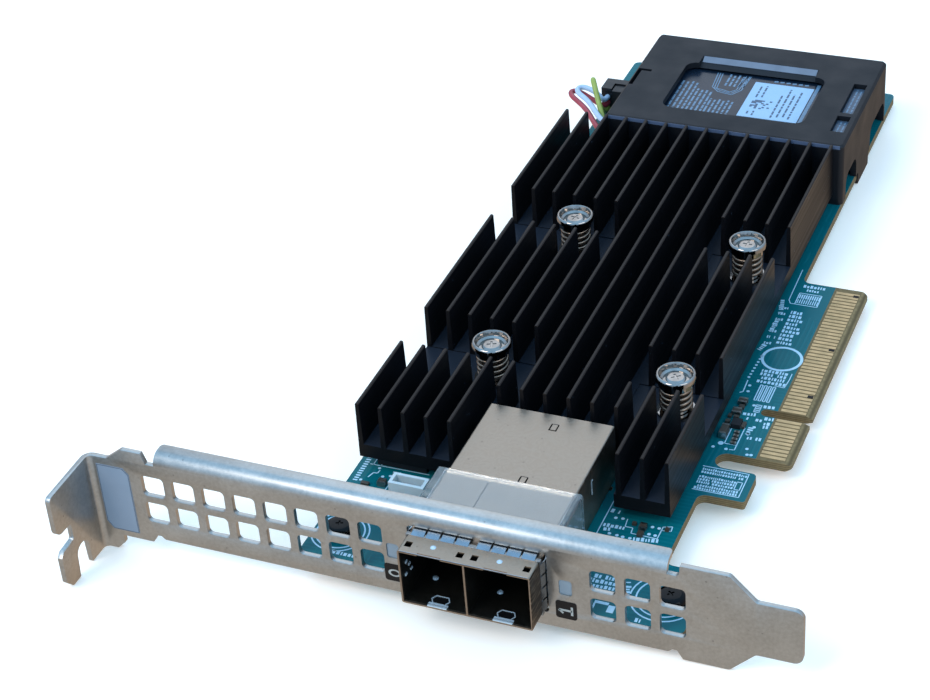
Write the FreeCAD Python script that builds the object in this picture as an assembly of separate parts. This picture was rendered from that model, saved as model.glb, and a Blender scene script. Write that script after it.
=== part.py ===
import FreeCAD, Part
import math
import os

from FreeCAD import Vector

# Low-profile storage controller card on a full-height bracket, in millimetres.
# X runs along the bracket from the screw tab to the tongue, Y runs from the
# bracket's outer face along the card, and Z is up out of the component side.
# The origin is the bracket's datum corner: the planes of the tab's outer face,
# of the bracket's outer face and of the bracket's lower long edge meet there.

# Bracket: one folded sheet
bracket_length = 120.02
bracket_width = 18.42
sheet = 0.86
fold_radius = 1.0
tab_depth = 12.2
tab_top = 16.0
tab_foot = -3.1
tongue_width = 10.19
tongue_length = 7.15
tongue_taper = 4.05
tongue_corner = 1.5
wide_start = 10.9
wide_end = 101.25
lip_start = 13.1
lip_end = 99.2
lip_depth = 3.5
lip_radius = 1.2
waist_rise = 1.0
relief_floor = 16.4
screw_slot_width = 3.6
screw_slot_centre = 6.3
screw_slot_depth = 4.1
hook_slot_width = 3.3
hook_slot_centre = -6.25
hook_slot_top = 2.4
vent = 4.1
vent_corner = 0.8
vent_pitch = 5.5
vent_rows = (11.9, 6.45)
vent_first_left = 12.3
vent_count_left = 8
vent_first_right = 89.05
vent_count_right = 3
light_window = (2.1, 3.0)
light_window_height = 9.3
light_window_gap = 3.45
label_size = 3.4
label_corner = 0.45
label_height = 4.85
film = 0.1

# Board
board_left = 37.05
board_front = 1.0
port_recess = (0.8, 3.06)
board_height = 68.90
board_length = 169.71
board_thickness = 1.57
board_top = 4.20
board_corner = 1.2
connector_depth = 12.30
key_centre = 57.60
key_width = 1.90
key_depth = 8.70
connector_near = 12.60
connector_far = 40.10
bevel_run = 1.2
bevel_drop = 0.45
front_ear_end = 15.4
small_tab = (33.5, 41.1)
ear_depth = 7.65
contact_pitch = 1.0
contact_width = 0.7
contact_length = 4.3
contact_setback = 1.3
contact_thickness = 0.05
contacts_near = 11
contacts_far = 38

# Bracket feet and their screws
foot_screw_x = (41.6, 97.4)
foot_screw_y = 7.2
foot_width = 8.6
foot_end = 12.0
foot_boss_diameter = 5.6
foot_hole = 3.0
foot_head_diameter = 5.2
foot_head_height = 1.9
board_hole_clearance = 0.35

# Port cage
port_centre = 68.75
cage_width = 21.7
cage_height = 10.46
cage_front = -5.3
cage_rear = 33.7
cage_wall = 0.3
cutout_margin = 0.6
cutout_over = 0.65
port_depth = 14.0
pin_width = 0.6
pin_length = 2.3
pin_stations = (6.0, 14.0, 30.5)
finger_pitch = 2.45
finger_width = 2.1
finger_sheet = 0.15
finger_rise = 0.45
collar_front = -1.45
collar_rear = 2.4

# Light guide over the cage
guide_front = 5.0
guide_rear = 14.6
guide_bar = (1.7, 2.5)
guide_plate = 0.8
guide_gap = 0.15
guide_side = (0.25, 1.1)
guide_bar_run = 1.2
guide_bar_front = 0.25
guide_leg_lap = 0.5
guide_leg = 3.2
led_height = 1.0

# Heat sink
fin_count = 14
fin_first = 38.45
fin_pitch = 4.093
fin_root = 0.95
fin_tip = 0.62
tip_chamfer = 0.15
fin_foot = 0.3
fin_top = 17.64
base_bottom = 6.70
base_thickness = 2.6
sink_front = 23.5
sink_rear = 124.9
cage_clearance = 1.3
cross_cut_width = 10.6
cut_fins_left = 6
cut_fins_right = 4
cut_skim = 0.15

# Heat sink screws, on a rectangle
screw_y = (47.5, 89.5)
screw_gap_left = 3
screw_gap_right = 11
head_top = 17.05
head_diameter = 6.9
head_height = 2.3
shoulder_diameter = 4.2
thread_diameter = 2.5
sink_hole = 4.8
spring_diameter = 5.7
spring_wire = 0.5
spring_turns = 4
washer_diameter = 6.6
washer_thickness = 0.5
nut_across_flats = 4.5
nut_height = 1.6

# Battery pack and its housing
housing_top = 17.3
housing_left = 46.1
housing_right = 93.9
housing_front = 125.4
housing_rear = 160.8
housing_wall = 1.2
housing_corner = 1.0
housing_chamfer = 0.5
window = (55.5, 84.2, 131.5, 150.4)
window_corner = 2.2
side_slot = (89.9, 92.5, 130.6, 149.8)
side_bar = (136.7, 138.0)
arch_near = (128.2, 136.6)
arch_far = (147.6, 159.4)
arch_top = 9.1
clip_near = 138.4
clip_far = 146.6
clip_room = 0.25
hook_reach = 1.0
hook_height = 1.0
battery = (50.2, 88.8, 128.2, 157.4)
battery_bottom = 6.2
battery_top = 15.6
label_box = (70.2, 82.2, 134.4, 148.4)

# Battery connector and leads
header_box = (37.4, 44.6, 147.6, 151.8)
header_height = 6.0
plug_stand = 0.4
lead_diameter = 1.1

# Small header beside the cage
small_header_gap = 0.6
small_header_length = 6.2
small_header_front = 15.5
small_header_depth = 2.8
small_header_height = 5.1
small_header_wall = 0.55
small_header_pitch = 1.25

# Battery housing details
far_step = (61.8, 78.2)
far_step_depth = 0.4
window_bevel = 3.2
window_bevel_ends = (2.2, 2.4)
clip_groove = 0.8
clip_groove_reach = 2.8
clip_groove_end = 1.4
lead_hole = (128.2, 134.4, 8.4, 13.2)
cradle_width = 3.0
cradle_inset = 3.0

# Port cage roof
roof_tab = 0.9
roof_tab_length = 1.45
roof_tab_gap = 0.25
roof_tab_offset = 1.5
roof_tabs_y = (16.4, 30.6)
roof_slot = (1.1, 1.25)
roof_slot_back = 1.3
roof_slot_from_middle = 4.25
roof_seam_x = 65.4
roof_seam_width = 0.2
roof_seam_end = 13.6
latch_window = (2.7, 1.45)
latch_window_setback = 1.1
latch_window_offset = 0.35

# Port receptacles
receptacle_gap = 0.1
shelf_reach = 5.5
shelf_height = 2.6
nose_half = 4.3
nose_reach = 3.0
card_slot_half = 3.8
card_slot_margin = 3.9
card_slot_depth = 5.0
blade_pitch = 0.75
blade_count = 9
blade_width = 0.3
blade_thickness = 0.15

# Parts on the board
inductor_side = 6.6
inductor_height = 2.2
support_chip_height = 1.0
solder_side_height = 0.9
header_pin = 0.4
memory_pad_inset = (0.8, 1.0)

tiny = 0.05


def at(plane, a, b, level):
    """A point from two coordinates in a plane and its level along the third axis."""
    if plane == "XY":
        return Vector(a, b, level)
    if plane == "XZ":
        return Vector(a, level, b)
    return Vector(level, a, b)


def outline(corners, plane, level):
    """A closed wire through corners given as (a, b) or (a, b, radius)."""
    count = len(corners)
    points = [at(plane, corner[0], corner[1], level) for corner in corners]
    starts = []
    ends = []
    edges = []
    for i in range(count):
        here = points[i]
        back = points[i - 1] - here
        ahead = points[(i + 1) % count] - here
        radius = corners[i][2] if len(corners[i]) > 2 else 0
        if radius <= 0:
            starts.append(here)
            ends.append(here)
            continue
        half = back.getAngle(ahead) / 2
        back.normalize()
        ahead.normalize()
        run = radius / math.tan(half)
        first = here + back * run
        last = here + ahead * run
        middle = back + ahead
        middle.normalize()
        top = here + middle * (radius / math.sin(half) - radius)
        starts.append(first)
        ends.append(last)
        edges.append((i, Part.Arc(first, top, last).toShape()))
    arcs = dict(edges)
    path = []
    for i in range(count):
        if i in arcs:
            path.append(arcs[i])
        leave = ends[i]
        arrive = starts[(i + 1) % count]
        if leave.distanceToPoint(arrive) > 1e-6:
            path.append(Part.LineSegment(leave, arrive).toShape())
    return Part.Wire(path)


def plate(corners, plane, start, end):
    """A flat piece with a drawn outline, from one level to another."""
    face = Part.Face(outline(corners, plane, start))
    return face.extrude(at(plane, 0, 0, end - start))


def block(x0, x1, y0, y1, z0, z1):
    return Part.makeBox(x1 - x0, y1 - y0, z1 - z0, Vector(x0, y0, z0))


def rounded(a0, a1, b0, b1, radius):
    """The corners of a rectangle with round corners."""
    return [(a0, b0, radius), (a1, b0, radius), (a1, b1, radius), (a0, b1, radius)]


def upright(x, y, diameter, bottom, top):
    """A round rod or hole that stands along Z."""
    return Part.makeCylinder(diameter / 2, top - bottom, Vector(x, y, bottom))


def fused(pieces):
    body = pieces[0].multiFuse(pieces[1:]) if len(pieces) > 1 else pieces[0]
    return body.removeSplitter()


def turned(profile, x, y):
    """A solid of revolution about a Z axis, from (radius, height) corners."""
    corners = [Vector(x + r, y, z) for r, z in profile]
    wire = Part.makePolygon(corners + corners[:1])
    return Part.Face(wire).revolve(Vector(x, y, 0), Vector(0, 0, 1), 360)


parts = {}

board_bottom = board_top - board_thickness
board_tip = board_left + board_height
board_right = board_tip - connector_depth
board_rear = board_front + board_length
cage_left = port_centre - cage_width / 2
cage_right = port_centre + cage_width / 2
cage_top = board_top + cage_height
cutout_left = cage_left - cutout_margin
cutout_right = cage_right + cutout_margin
cutout_bottom = board_top - cutout_margin
cutout_top = cage_top + cutout_over
sink_floor = base_bottom + base_thickness
fins = [fin_first + fin_pitch * k for k in range(fin_count)]
screw_x = (
    (fins[screw_gap_left] + fins[screw_gap_left + 1]) / 2,
    (fins[screw_gap_right] + fins[screw_gap_right + 1]) / 2,
)
screw_places = [(x, y) for x in screw_x for y in screw_y]
light_x = (cage_left - light_window_gap, cage_right + light_window_gap)


def bracket():
    """Full-height slot bracket: face with vents, rolled lip, hooked tab and two feet."""
    middle = bracket_width / 2
    low = middle - tongue_width / 2
    high = middle + tongue_width / 2
    tongue_root = bracket_length - tongue_length
    wide_tip = tongue_root - tongue_taper
    bend_end = sheet + fold_radius
    lip_outer = lip_radius + sheet
    lip_foot = bracket_width - lip_outer
    face = plate([
        (bend_end, tab_foot), (bend_end + 1.4, tab_foot), (bend_end + 2.9, tab_foot + 1.5),
        (bend_end + 2.9, 0), (10.5, 0), (11.5, waist_rise + 0.6), (12.2, waist_rise + 0.6),
        (12.9, waist_rise), (lip_end, waist_rise), (lip_end + 0.7, waist_rise + 0.6),
        (lip_end + 1.4, waist_rise + 0.6), (wide_end + 0.3, 0), (wide_tip, 0, 0.8),
        (tongue_root, low, 0.8), (bracket_length, low, tongue_corner),
        (bracket_length, high, tongue_corner), (tongue_root, high, 0.8),
        (wide_tip, bracket_width, 0.8), (wide_end, bracket_width),
        (wide_end - 0.15, relief_floor, 0.7), (lip_end, relief_floor), (lip_end, lip_foot),
        (lip_start, lip_foot), (lip_start, relief_floor),
        (wide_start + 0.7, relief_floor), (wide_start, bracket_width),
        (7.3, bracket_width, 0.8), (4.3, tab_top, 0.8), (bend_end, tab_top),
    ], "XZ", 0, sheet)
    slot_low = screw_slot_centre - screw_slot_width / 2
    slot_high = screw_slot_centre + screw_slot_width / 2
    slot_root = screw_slot_depth - tab_depth
    hook_left = hook_slot_centre - hook_slot_width / 2
    hook_right = hook_slot_centre + hook_slot_width / 2
    tab = plate([
        (-fold_radius, tab_foot), (hook_right + 0.3, tab_foot), (hook_right, hook_slot_top, 1.6),
        (hook_left, hook_slot_top, 1.6), (hook_left - 0.4, tab_foot), (1.5 - tab_depth, tab_foot, 0.5),
        (-tab_depth, tab_foot + 1.8, 0.6), (-tab_depth, slot_low - 0.8), (0.8 - tab_depth, slot_low),
        (slot_root, slot_low + 0.2, 0.5), (slot_root, slot_high - 0.2, 0.5), (-tab_depth, slot_high, 1.6),
        (-tab_depth, tab_top, 0.8), (-fold_radius, tab_top),
    ], "YZ", 0, sheet)
    bend_outer = fold_radius + sheet
    fold_axis = Vector(bend_end, -fold_radius, tab_foot)
    ring = Part.makeCylinder(bend_outer, tab_top - tab_foot, fold_axis)
    ring = ring.cut(Part.makeCylinder(fold_radius, tab_top - tab_foot, fold_axis))
    corner = block(0, bend_end, -fold_radius, sheet, tab_foot, tab_top)
    fold = ring.common(corner)
    lip_axis = Vector(lip_start, lip_outer, lip_foot)
    lip_run = lip_end - lip_start
    roll = Part.makeCylinder(lip_outer, lip_run, lip_axis, Vector(1, 0, 0))
    roll = roll.cut(Part.makeCylinder(lip_radius, lip_run, lip_axis, Vector(1, 0, 0)))
    roll = roll.common(block(lip_start, lip_end, 0, lip_outer, lip_foot, bracket_width))
    flange_corners = rounded(lip_start, lip_end, lip_outer - 1, lip_depth, 0.7)
    flange = plate(flange_corners, "XY", bracket_width - sheet, bracket_width)
    flange = flange.cut(block(lip_start, lip_end, 0, lip_outer, 0, bracket_width))
    pieces = [face, tab, fold, roll, flange]
    foot_top = waist_rise + sheet
    foot_bend = 0.5
    for x in foot_screw_x:
        left = x - foot_width / 2
        right = x + foot_width / 2
        bend_level = foot_bend + sheet
        bend_axis = Vector(left, bend_level, foot_top + foot_bend)
        bend = Part.makeCylinder(bend_level, foot_width, bend_axis, Vector(1, 0, 0))
        bend = bend.cut(Part.makeCylinder(foot_bend, foot_width, bend_axis, Vector(1, 0, 0)))
        bend = bend.common(block(left, right, 0, bend_level, waist_rise, foot_top + foot_bend))
        sole = plate([
            (left, bend_level), (right, bend_level), (right, foot_end, 2.0), (left, foot_end, 2.0),
        ], "XY", waist_rise, foot_top)
        boss = upright(x, foot_screw_y, foot_boss_diameter, waist_rise, board_bottom)
        pieces += [bend, sole, boss]
    body = fused(pieces)
    port_corners = rounded(cutout_left, cutout_right, cutout_bottom, cutout_top, 0.6)
    cuts = [plate(port_corners, "XZ", -1, sheet + 1)]
    columns = [vent_first_left + vent_pitch * k for k in range(vent_count_left)]
    columns += [vent_first_right + vent_pitch * k for k in range(vent_count_right)]
    for x in columns:
        for z in vent_rows:
            corners = rounded(x - vent / 2, x + vent / 2, z - vent / 2, z + vent / 2, vent_corner)
            cuts.append(plate(corners, "XZ", -1, sheet + 1))
    for x in light_x:
        wide, tall = light_window
        corners = rounded(x - wide / 2, x + wide / 2, light_window_height - tall / 2,
                          light_window_height + tall / 2, 0.5)
        cuts.append(plate(corners, "XZ", -1, sheet + 1))
    for x in foot_screw_x:
        cuts.append(upright(x, foot_screw_y, foot_hole, waist_rise - 1, board_bottom + 1))
    return body.cut(Part.makeCompound(cuts))


parts["bracket"] = bracket()


def foot_screws():
    """Two black pan-head screws that hold the board down on the bracket's feet."""
    screws = []
    radius = foot_head_diameter / 2
    shank = foot_hole / 2 - tiny
    for x in foot_screw_x:
        top = board_top + foot_head_height
        screws.append(turned([
            (0, waist_rise - 0.4), (shank, waist_rise - 0.4), (shank, board_top), (radius, board_top),
            (radius, top - 0.8), (radius - 0.9, top), (0, top),
        ], x, foot_screw_y))
    return Part.makeCompound(screws)


parts["bracket_screws"] = foot_screws()


def circuit_board():
    """Board with its edge connector, key notch, relief slot, small tab and a recess under the ports."""
    slot_low, slot_high = small_tab[1], key_centre - connector_near
    slot_radius = (slot_high - slot_low) / 2
    far = key_centre + connector_far
    key_low = key_centre - key_width / 2
    key_high = key_centre + key_width / 2
    key_end = board_tip - key_depth
    ear_tip = board_right + ear_depth
    recess_margin, recess_end = port_recess
    recess_left = cage_left - recess_margin
    recess_right = cage_right + recess_margin
    body = plate([
        (board_left, board_front, board_corner), (recess_left, board_front, 0.4),
        (recess_left, recess_end, 0.4),
        (recess_right, recess_end, 0.4), (recess_right, board_front, 0.4),
        (ear_tip, board_front, 0.8), (ear_tip, front_ear_end, 0.8),
        (board_right, front_ear_end, 1.5), (board_right, small_tab[0], 1.5), (ear_tip, small_tab[0], 0.5),
        (ear_tip, slot_low, 0.9), (board_right, slot_low, slot_radius - 0.01),
        (board_right, slot_high, slot_radius - 0.01), (board_tip, slot_high, 1.0), (board_tip, key_low),
        (key_end, key_low, key_width / 2 - 0.01), (key_end, key_high, key_width / 2 - 0.01),
        (board_tip, key_high), (board_tip, far, 1.0), (board_right, far, 1.5),
        (board_right, board_rear, board_corner), (board_left, board_rear, board_corner),
    ], "XY", board_bottom, board_top)
    for level, step in ((board_top, -1), (board_bottom, 1)):
        bevel = plate([
            (board_tip - bevel_run, level), (board_tip + 1, level + step * bevel_drop * (1 + 1 / bevel_run)),
            (board_tip + 1, level - step),
            (board_tip - bevel_run, level - step),
        ], "XZ", slot_high - 1, far + 1)
        body = body.cut(bevel)
    foot_bore = foot_hole + board_hole_clearance
    screw_bore = thread_diameter + board_hole_clearance
    holes = [upright(x, foot_screw_y, foot_bore, 0, board_top + 1) for x in foot_screw_x]
    holes += [upright(x, y, screw_bore, 0, board_top + 1) for x, y in screw_places]
    for x in (cage_left + cage_wall / 2, cage_right - cage_wall / 2):
        reach = (pin_width + board_hole_clearance) / 2
        for y in pin_stations:
            holes.append(block(x - reach, x + reach, y - reach, y + reach, 0, board_top + 1))
    near = clip_near - clip_room
    far_end = clip_far + clip_room
    right_clip = housing_right - housing_wall - clip_room
    left_clip = housing_left + housing_wall + hook_reach + clip_room
    holes.append(block(right_clip, board_right + 1, near, far_end, 0, board_top + 1))
    holes.append(block(housing_left - clip_room, left_clip, near, far_end, 0, board_top + 1))
    return body.cut(Part.makeCompound(holes))


parts["circuit_board"] = circuit_board()


def edge_contacts(top_side):
    """One row of gold contact pads on a face of the edge connector."""
    outer = board_tip - contact_setback
    inner = outer - contact_length
    low = board_top if top_side else board_bottom - contact_thickness
    first_near = key_centre - contact_pitch * (contacts_near + 0.5)
    first_far = key_centre + contact_pitch * 1.5
    rows = [first_near + contact_pitch * k for k in range(contacts_near)]
    rows += [first_far + contact_pitch * k for k in range(contacts_far)]
    pads = [block(inner, outer, y - contact_width / 2, y + contact_width / 2, low, low + contact_thickness)
            for y in rows]
    return Part.makeCompound(pads)


parts["edge_contacts_top"] = edge_contacts(True)
parts["edge_contacts_bottom"] = edge_contacts(False)


def port_cage():
    """Folded cage round both ports, with its board pins, front slots, roof tabs and stepped lip."""
    body = block(cage_left, cage_right, cage_front, cage_rear, board_top, cage_top)
    hollow = block(cage_left + cage_wall, cage_right - cage_wall, cage_front - 1, cage_rear - cage_wall,
                   board_top + cage_wall, cage_top - cage_wall)
    body = body.cut(hollow)
    half = cage_width / 2
    long_edges = []
    for edge in body.Edges:
        start, end = edge.Vertexes[0], edge.Vertexes[-1]
        if abs(start.Y - end.Y) > 30 and abs(abs(start.X - port_centre) - half) < 0.01:
            long_edges.append(edge)
    body = body.makeFillet(0.35, long_edges)
    low = cage_top - 1
    high = cage_top + 1
    slot_wide, slot_deep = roof_slot
    latch_wide, latch_deep = latch_window
    cuts = []
    for side in (-1, 1):
        middle = port_centre + side * half / 2
        slot_near = cage_front + roof_slot_back
        for x in (middle - roof_slot_from_middle, middle + roof_slot_from_middle):
            reach = slot_wide / 2
            cuts.append(block(x - reach, x + reach, slot_near, slot_near + slot_deep, low, high))
        # shallow step in the front lip of each port
        cuts.append(block(middle - 2.1, middle + 1.7, cage_front - 1, cage_front + 0.35, low, high))
        # window in the floor where the plug's latch hooks in
        latch_near = cage_front + latch_window_setback
        reach = latch_wide / 2
        window_x = middle + latch_window_offset
        cuts.append(block(window_x - reach, window_x + reach, latch_near, latch_near + latch_deep,
                          board_top - 1, board_top + 1))
    # tabs sheared out of the roof on three sides, beside the divider
    tab_x = port_centre + roof_tab_offset
    inner = roof_tab / 2
    outer = inner + roof_tab_gap
    for y in roof_tabs_y:
        near = y - roof_tab_length / 2
        far = y + roof_tab_length / 2
        cuts.append(block(tab_x - outer, tab_x - inner, near, far, low, high))
        cuts.append(block(tab_x + inner, tab_x + outer, near, far, low, high))
        cuts.append(block(tab_x - outer, tab_x + outer, near - roof_tab_gap, near, low, high))
    # seam in the folded front of the roof
    seam_far_side = roof_seam_x + roof_seam_width
    cuts.append(block(roof_seam_x, seam_far_side, collar_rear + 0.6, roof_seam_end, low, high))
    body = body.cut(Part.makeCompound(cuts))
    pins = []
    half_pin = pin_width / 2
    shoulder = board_top - pin_length + 0.6
    for x in (cage_left, cage_right - cage_wall):
        for y in pin_stations:
            pins.append(plate([
                (y - half_pin, board_top + 1), (y - half_pin, shoulder), (y, board_top - pin_length),
                (y + half_pin, shoulder), (y + half_pin, board_top + 1),
            ], "YZ", x, x + cage_wall))
    return fused([body] + pins)


parts["port_cage"] = port_cage()


# Wall between the two ports
parts["cage_divider"] = block(port_centre - cage_wall / 2, port_centre + cage_wall / 2, cage_front + 0.1,
                              cage_rear - 1.2, board_top + cage_wall, cage_top - cage_wall)


def spring_finger(centre, reach, outward, along):
    """One bowed contact finger, drawn in the plane of its travel and swept across its width."""
    bow = [
        (collar_front, 0), (collar_front + 0.3, 0), (-0.2, finger_rise - finger_sheet),
        (0.4, finger_rise - finger_sheet), (collar_rear - 0.3, 0), (collar_rear, 0),
        (collar_rear, finger_sheet), (0.5, finger_rise), (-0.3, finger_rise), (collar_front, finger_sheet),
    ]
    low = centre - finger_width / 2
    high = centre + finger_width / 2
    if along == "X":
        corners = [(y, reach + outward * rise) for y, rise in bow]
        return plate(corners, "YZ", low, high)
    corners = [(reach + outward * rise, y) for y, rise in bow]
    return plate(corners, "XY", low, high)


def shield_collar():
    """Spring collar round the cage that grounds it to the edge of the bracket's cut-out."""
    band = 0.7
    bands = []
    for y in (collar_front, collar_rear - band):
        outer = block(cage_left - finger_sheet, cage_right + finger_sheet, y, y + band,
                      board_top - finger_sheet, cage_top + finger_sheet)
        bands.append(outer.cut(block(cage_left, cage_right, y - 1, y + band + 1, board_top, cage_top)))
    fingers = []
    for k in range(8):
        gap = 0.5 if k > 3 else -0.5
        x = port_centre + finger_pitch * (k - 3.5) + gap
        fingers.append(spring_finger(x, cage_top, 1, "X"))
        fingers.append(spring_finger(x, board_top, -1, "X"))
    for k in range(4):
        z = board_top + cage_height / 2 + finger_pitch * (k - 1.5)
        fingers.append(spring_finger(z, cage_right, 1, "Z"))
        fingers.append(spring_finger(z, cage_left, -1, "Z"))
    return fused(bands + fingers)


parts["shield_collar"] = shield_collar()


def receptacle(side):
    """Moulded contact block at the back of one port, with its card slot."""
    half = cage_width / 2
    inner = port_centre + side * (cage_wall / 2 + receptacle_gap)
    outer = port_centre + side * (half - cage_wall - receptacle_gap)
    left, right = min(inner, outer), max(inner, outer)
    low = board_top + cage_wall
    high = cage_top - cage_wall - receptacle_gap
    middle = (left + right) / 2
    body = block(left, right, port_depth, cage_rear - cage_wall - receptacle_gap, low, high)
    shelf = plate([
        (port_depth - shelf_reach, low), (port_depth, low), (port_depth, low + shelf_height),
        (port_depth - shelf_reach + 0.6, low + shelf_height - 0.6),
    ], "YZ", left + 0.6, right - 0.6)
    nose = block(middle - nose_half, middle + nose_half, port_depth - nose_reach, port_depth,
                 low + shelf_height - 0.2, high - shelf_height)
    slot = block(middle - card_slot_half, middle + card_slot_half, port_depth - nose_reach - 1,
                 port_depth + card_slot_depth, low + card_slot_margin, high - card_slot_margin + 0.1)
    return fused([body, shelf, nose]).cut(slot)


parts["port_receptacle_0"] = receptacle(-1)
parts["port_receptacle_1"] = receptacle(1)


def receptacle_contacts():
    """Two rows of contact blades lining the card slot of each receptacle."""
    blades = []
    low = board_top + cage_wall + card_slot_margin
    high = cage_top - cage_wall - receptacle_gap - card_slot_margin + 0.1
    near = port_depth - nose_reach + 0.4
    far = port_depth + card_slot_depth - 0.2
    half = blade_width / 2
    for side in (-1, 1):
        middle = port_centre + side * (cage_width / 4 - cage_wall / 4)
        for k in range(blade_count):
            x = middle + blade_pitch * (k - (blade_count - 1) / 2)
            for level in (low, high - blade_thickness):
                blades.append(block(x - half, x + half, near, far, level, level + blade_thickness))
    return Part.makeCompound(blades)


parts["receptacle_contacts"] = receptacle_contacts()


def light_guide():
    """Clear guide that saddles the cage and carries light from two lamps to the bracket."""
    wide, tall = guide_bar
    low = light_window_height - tall / 2
    high = light_window_height + tall / 2
    roof = cage_top + guide_gap
    side_gap, side_wall = guide_side
    left_in = cage_left - side_gap
    right_in = cage_right + side_gap
    left_out = left_in - side_wall
    right_out = right_in + side_wall
    crown = roof + guide_plate
    arch = plate([
        (left_out, low), (left_in, low), (left_in, roof, 0.2), (right_in, roof, 0.2), (right_in, low),
        (right_out, low), (right_out, crown, 0.4), (left_out, crown, 0.4),
    ], "XZ", guide_front, guide_rear)
    pieces = [arch]
    foot = board_top + led_height + 0.1
    bar_end = guide_front + guide_bar_run
    for start, end in ((left_out, left_in), (right_in, right_out)):
        pieces.append(block(start, end, guide_rear - guide_leg, guide_rear, foot,
                            low + guide_leg_lap))
    for x in light_x:
        pieces.append(block(x - wide / 2, x + wide / 2, guide_bar_front, bar_end, low, high))
    pieces.append(block(light_x[0] - wide / 2, left_in, guide_front, bar_end, low, high))
    pieces.append(block(right_in, light_x[1] + wide / 2, guide_front, bar_end, low, high))
    return fused(pieces)


parts["light_guide"] = light_guide()

led_y = guide_rear - guide_leg / 2
led_reach = guide_side[0] + guide_side[1] / 2
parts["status_lamps"] = Part.makeCompound([
    block(x - 0.5, x + 0.5, led_y - 0.9, led_y + 0.9, board_top, board_top + led_height)
    for x in (cage_left - led_reach, cage_right + led_reach)
])


def heat_sink():
    """Extruded sink: tapered fins on a base, cross cut for the screws and notched for the cage."""
    left = fins[0] - fin_root / 2
    right = fins[-1] + fin_root / 2
    corners = [(left, base_bottom), (right, base_bottom)]
    for x in reversed(fins):
        corners.append((x + fin_root / 2, sink_floor))
        corners.append((x + fin_tip / 2, fin_top - tip_chamfer))
        corners.append((x + fin_tip / 2 - tip_chamfer, fin_top))
        corners.append((x - fin_tip / 2 + tip_chamfer, fin_top))
        corners.append((x - fin_tip / 2, fin_top - tip_chamfer))
        corners.append((x - fin_root / 2, sink_floor))
    # the end fins run straight down into the base, so their outer feet are not corners
    corners.pop(2)
    corners.pop()
    body = plate(corners, "XZ", sink_front, sink_rear)
    # the fins that would stand over the cage are cut back behind it
    beside_left = [x for x in fins if x + fin_root / 2 < cage_left - cage_clearance]
    beside_right = [x for x in fins if x - fin_root / 2 > cage_right + cage_clearance]
    notch_left = beside_left[-1] + fin_root / 2 + fin_foot if beside_left else left - 1
    notch_right = beside_right[0] - fin_root / 2 - fin_foot if beside_right else right + 1
    notch_end = cage_rear + cage_clearance
    cuts = [plate([
        (notch_left, sink_front - 1), (notch_right, sink_front - 1), (notch_right, notch_end, 0.8),
        (notch_left, notch_end, 0.8),
    ], "XY", base_bottom - 1, fin_top + 1)]
    cut_left = (fins[cut_fins_left - 1] + fins[cut_fins_left]) / 2
    cut_right = (fins[fin_count - cut_fins_right - 1] + fins[fin_count - cut_fins_right]) / 2
    for y in screw_y:
        near = y - cross_cut_width / 2
        far = y + cross_cut_width / 2
        floor = sink_floor - cut_skim
        cuts.append(block(left - 1, cut_left, near, far, floor, fin_top + 1))
        cuts.append(block(cut_right, right + 1, near, far, floor, fin_top + 1))
    cuts += [upright(x, y, sink_hole, base_bottom - 1, sink_floor + 1) for x, y in screw_places]
    return body.cut(Part.makeCompound(cuts))


parts["heat_sink"] = heat_sink()

cut_floor = sink_floor - cut_skim
spring_foot = cut_floor + washer_thickness
head_foot = head_top - head_height


def heat_sink_screws():
    """Four shoulder screws with dished heads."""
    screws = []
    radius = head_diameter / 2
    thread = thread_diameter / 2
    shoulder = shoulder_diameter / 2
    for x, y in screw_places:
        screws.append(turned([
            (0, board_bottom - nut_height + 0.2), (thread, board_bottom - nut_height + 0.2),
            (thread, board_top + tiny), (shoulder, board_top + tiny), (shoulder, head_foot),
            (radius - 0.45, head_foot), (radius - 0.45, head_foot + 1.0), (radius, head_foot + 1.2),
            (radius, head_top), (radius - 0.9, head_top), (radius - 0.9, head_top - 0.6), (0, head_top - 0.6),
        ], x, y))
    return Part.makeCompound(screws)


parts["heat_sink_screws"] = heat_sink_screws()


def coil_spring(x, y):
    """Compression spring between a washer and a head: hexagons set along a helix and joined."""
    stations = 8
    coil = (spring_diameter - spring_wire) / 2
    wire = spring_wire / 2
    bottom = spring_foot + wire + tiny
    rise = head_foot - wire - tiny - bottom
    lean = math.atan2(rise / spring_turns, 2 * math.pi * coil)
    rings = []
    for k in range(stations * spring_turns + 1):
        turn = 2 * math.pi * k / stations
        level = bottom + rise * k / (stations * spring_turns)
        outward = Vector(math.cos(turn), math.sin(turn), 0)
        along = Vector(-math.sin(turn) * math.cos(lean), math.cos(turn) * math.cos(lean), math.sin(lean))
        upward = outward.cross(along)
        centre = Vector(x, y, level) + outward * coil
        corners = []
        for s in range(6):
            angle = math.pi * s / 3
            corners.append(centre + outward * (wire * math.cos(angle)) + upward * (wire * math.sin(angle)))
        rings.append(Part.makePolygon(corners + corners[:1]))
    return Part.makeLoft(rings, True, True)


parts["screw_springs"] = Part.makeCompound([coil_spring(x, y) for x, y in screw_places])


def ring(x, y, outer, inner, low, high):
    """A flat washer."""
    return turned([(inner / 2, low), (outer / 2, low), (outer / 2, high), (inner / 2, high)], x, y)


parts["screw_washers"] = Part.makeCompound([
    ring(x, y, washer_diameter, shoulder_diameter + 0.4, cut_floor, spring_foot) for x, y in screw_places
])


def hexagon_nut(x, y):
    """Hexagon nut on the solder side, bored for the screw's thread."""
    reach = nut_across_flats / math.sqrt(3)
    low = board_bottom - nut_height
    angles = [math.pi * s / 3 for s in range(6)]
    corners = [(x + reach * math.cos(angle), y + reach * math.sin(angle)) for angle in angles]
    body = plate(corners, "XY", low, board_bottom)
    return body.cut(upright(x, y, thread_diameter + 2 * tiny, low - 1, board_bottom + 1))


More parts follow.
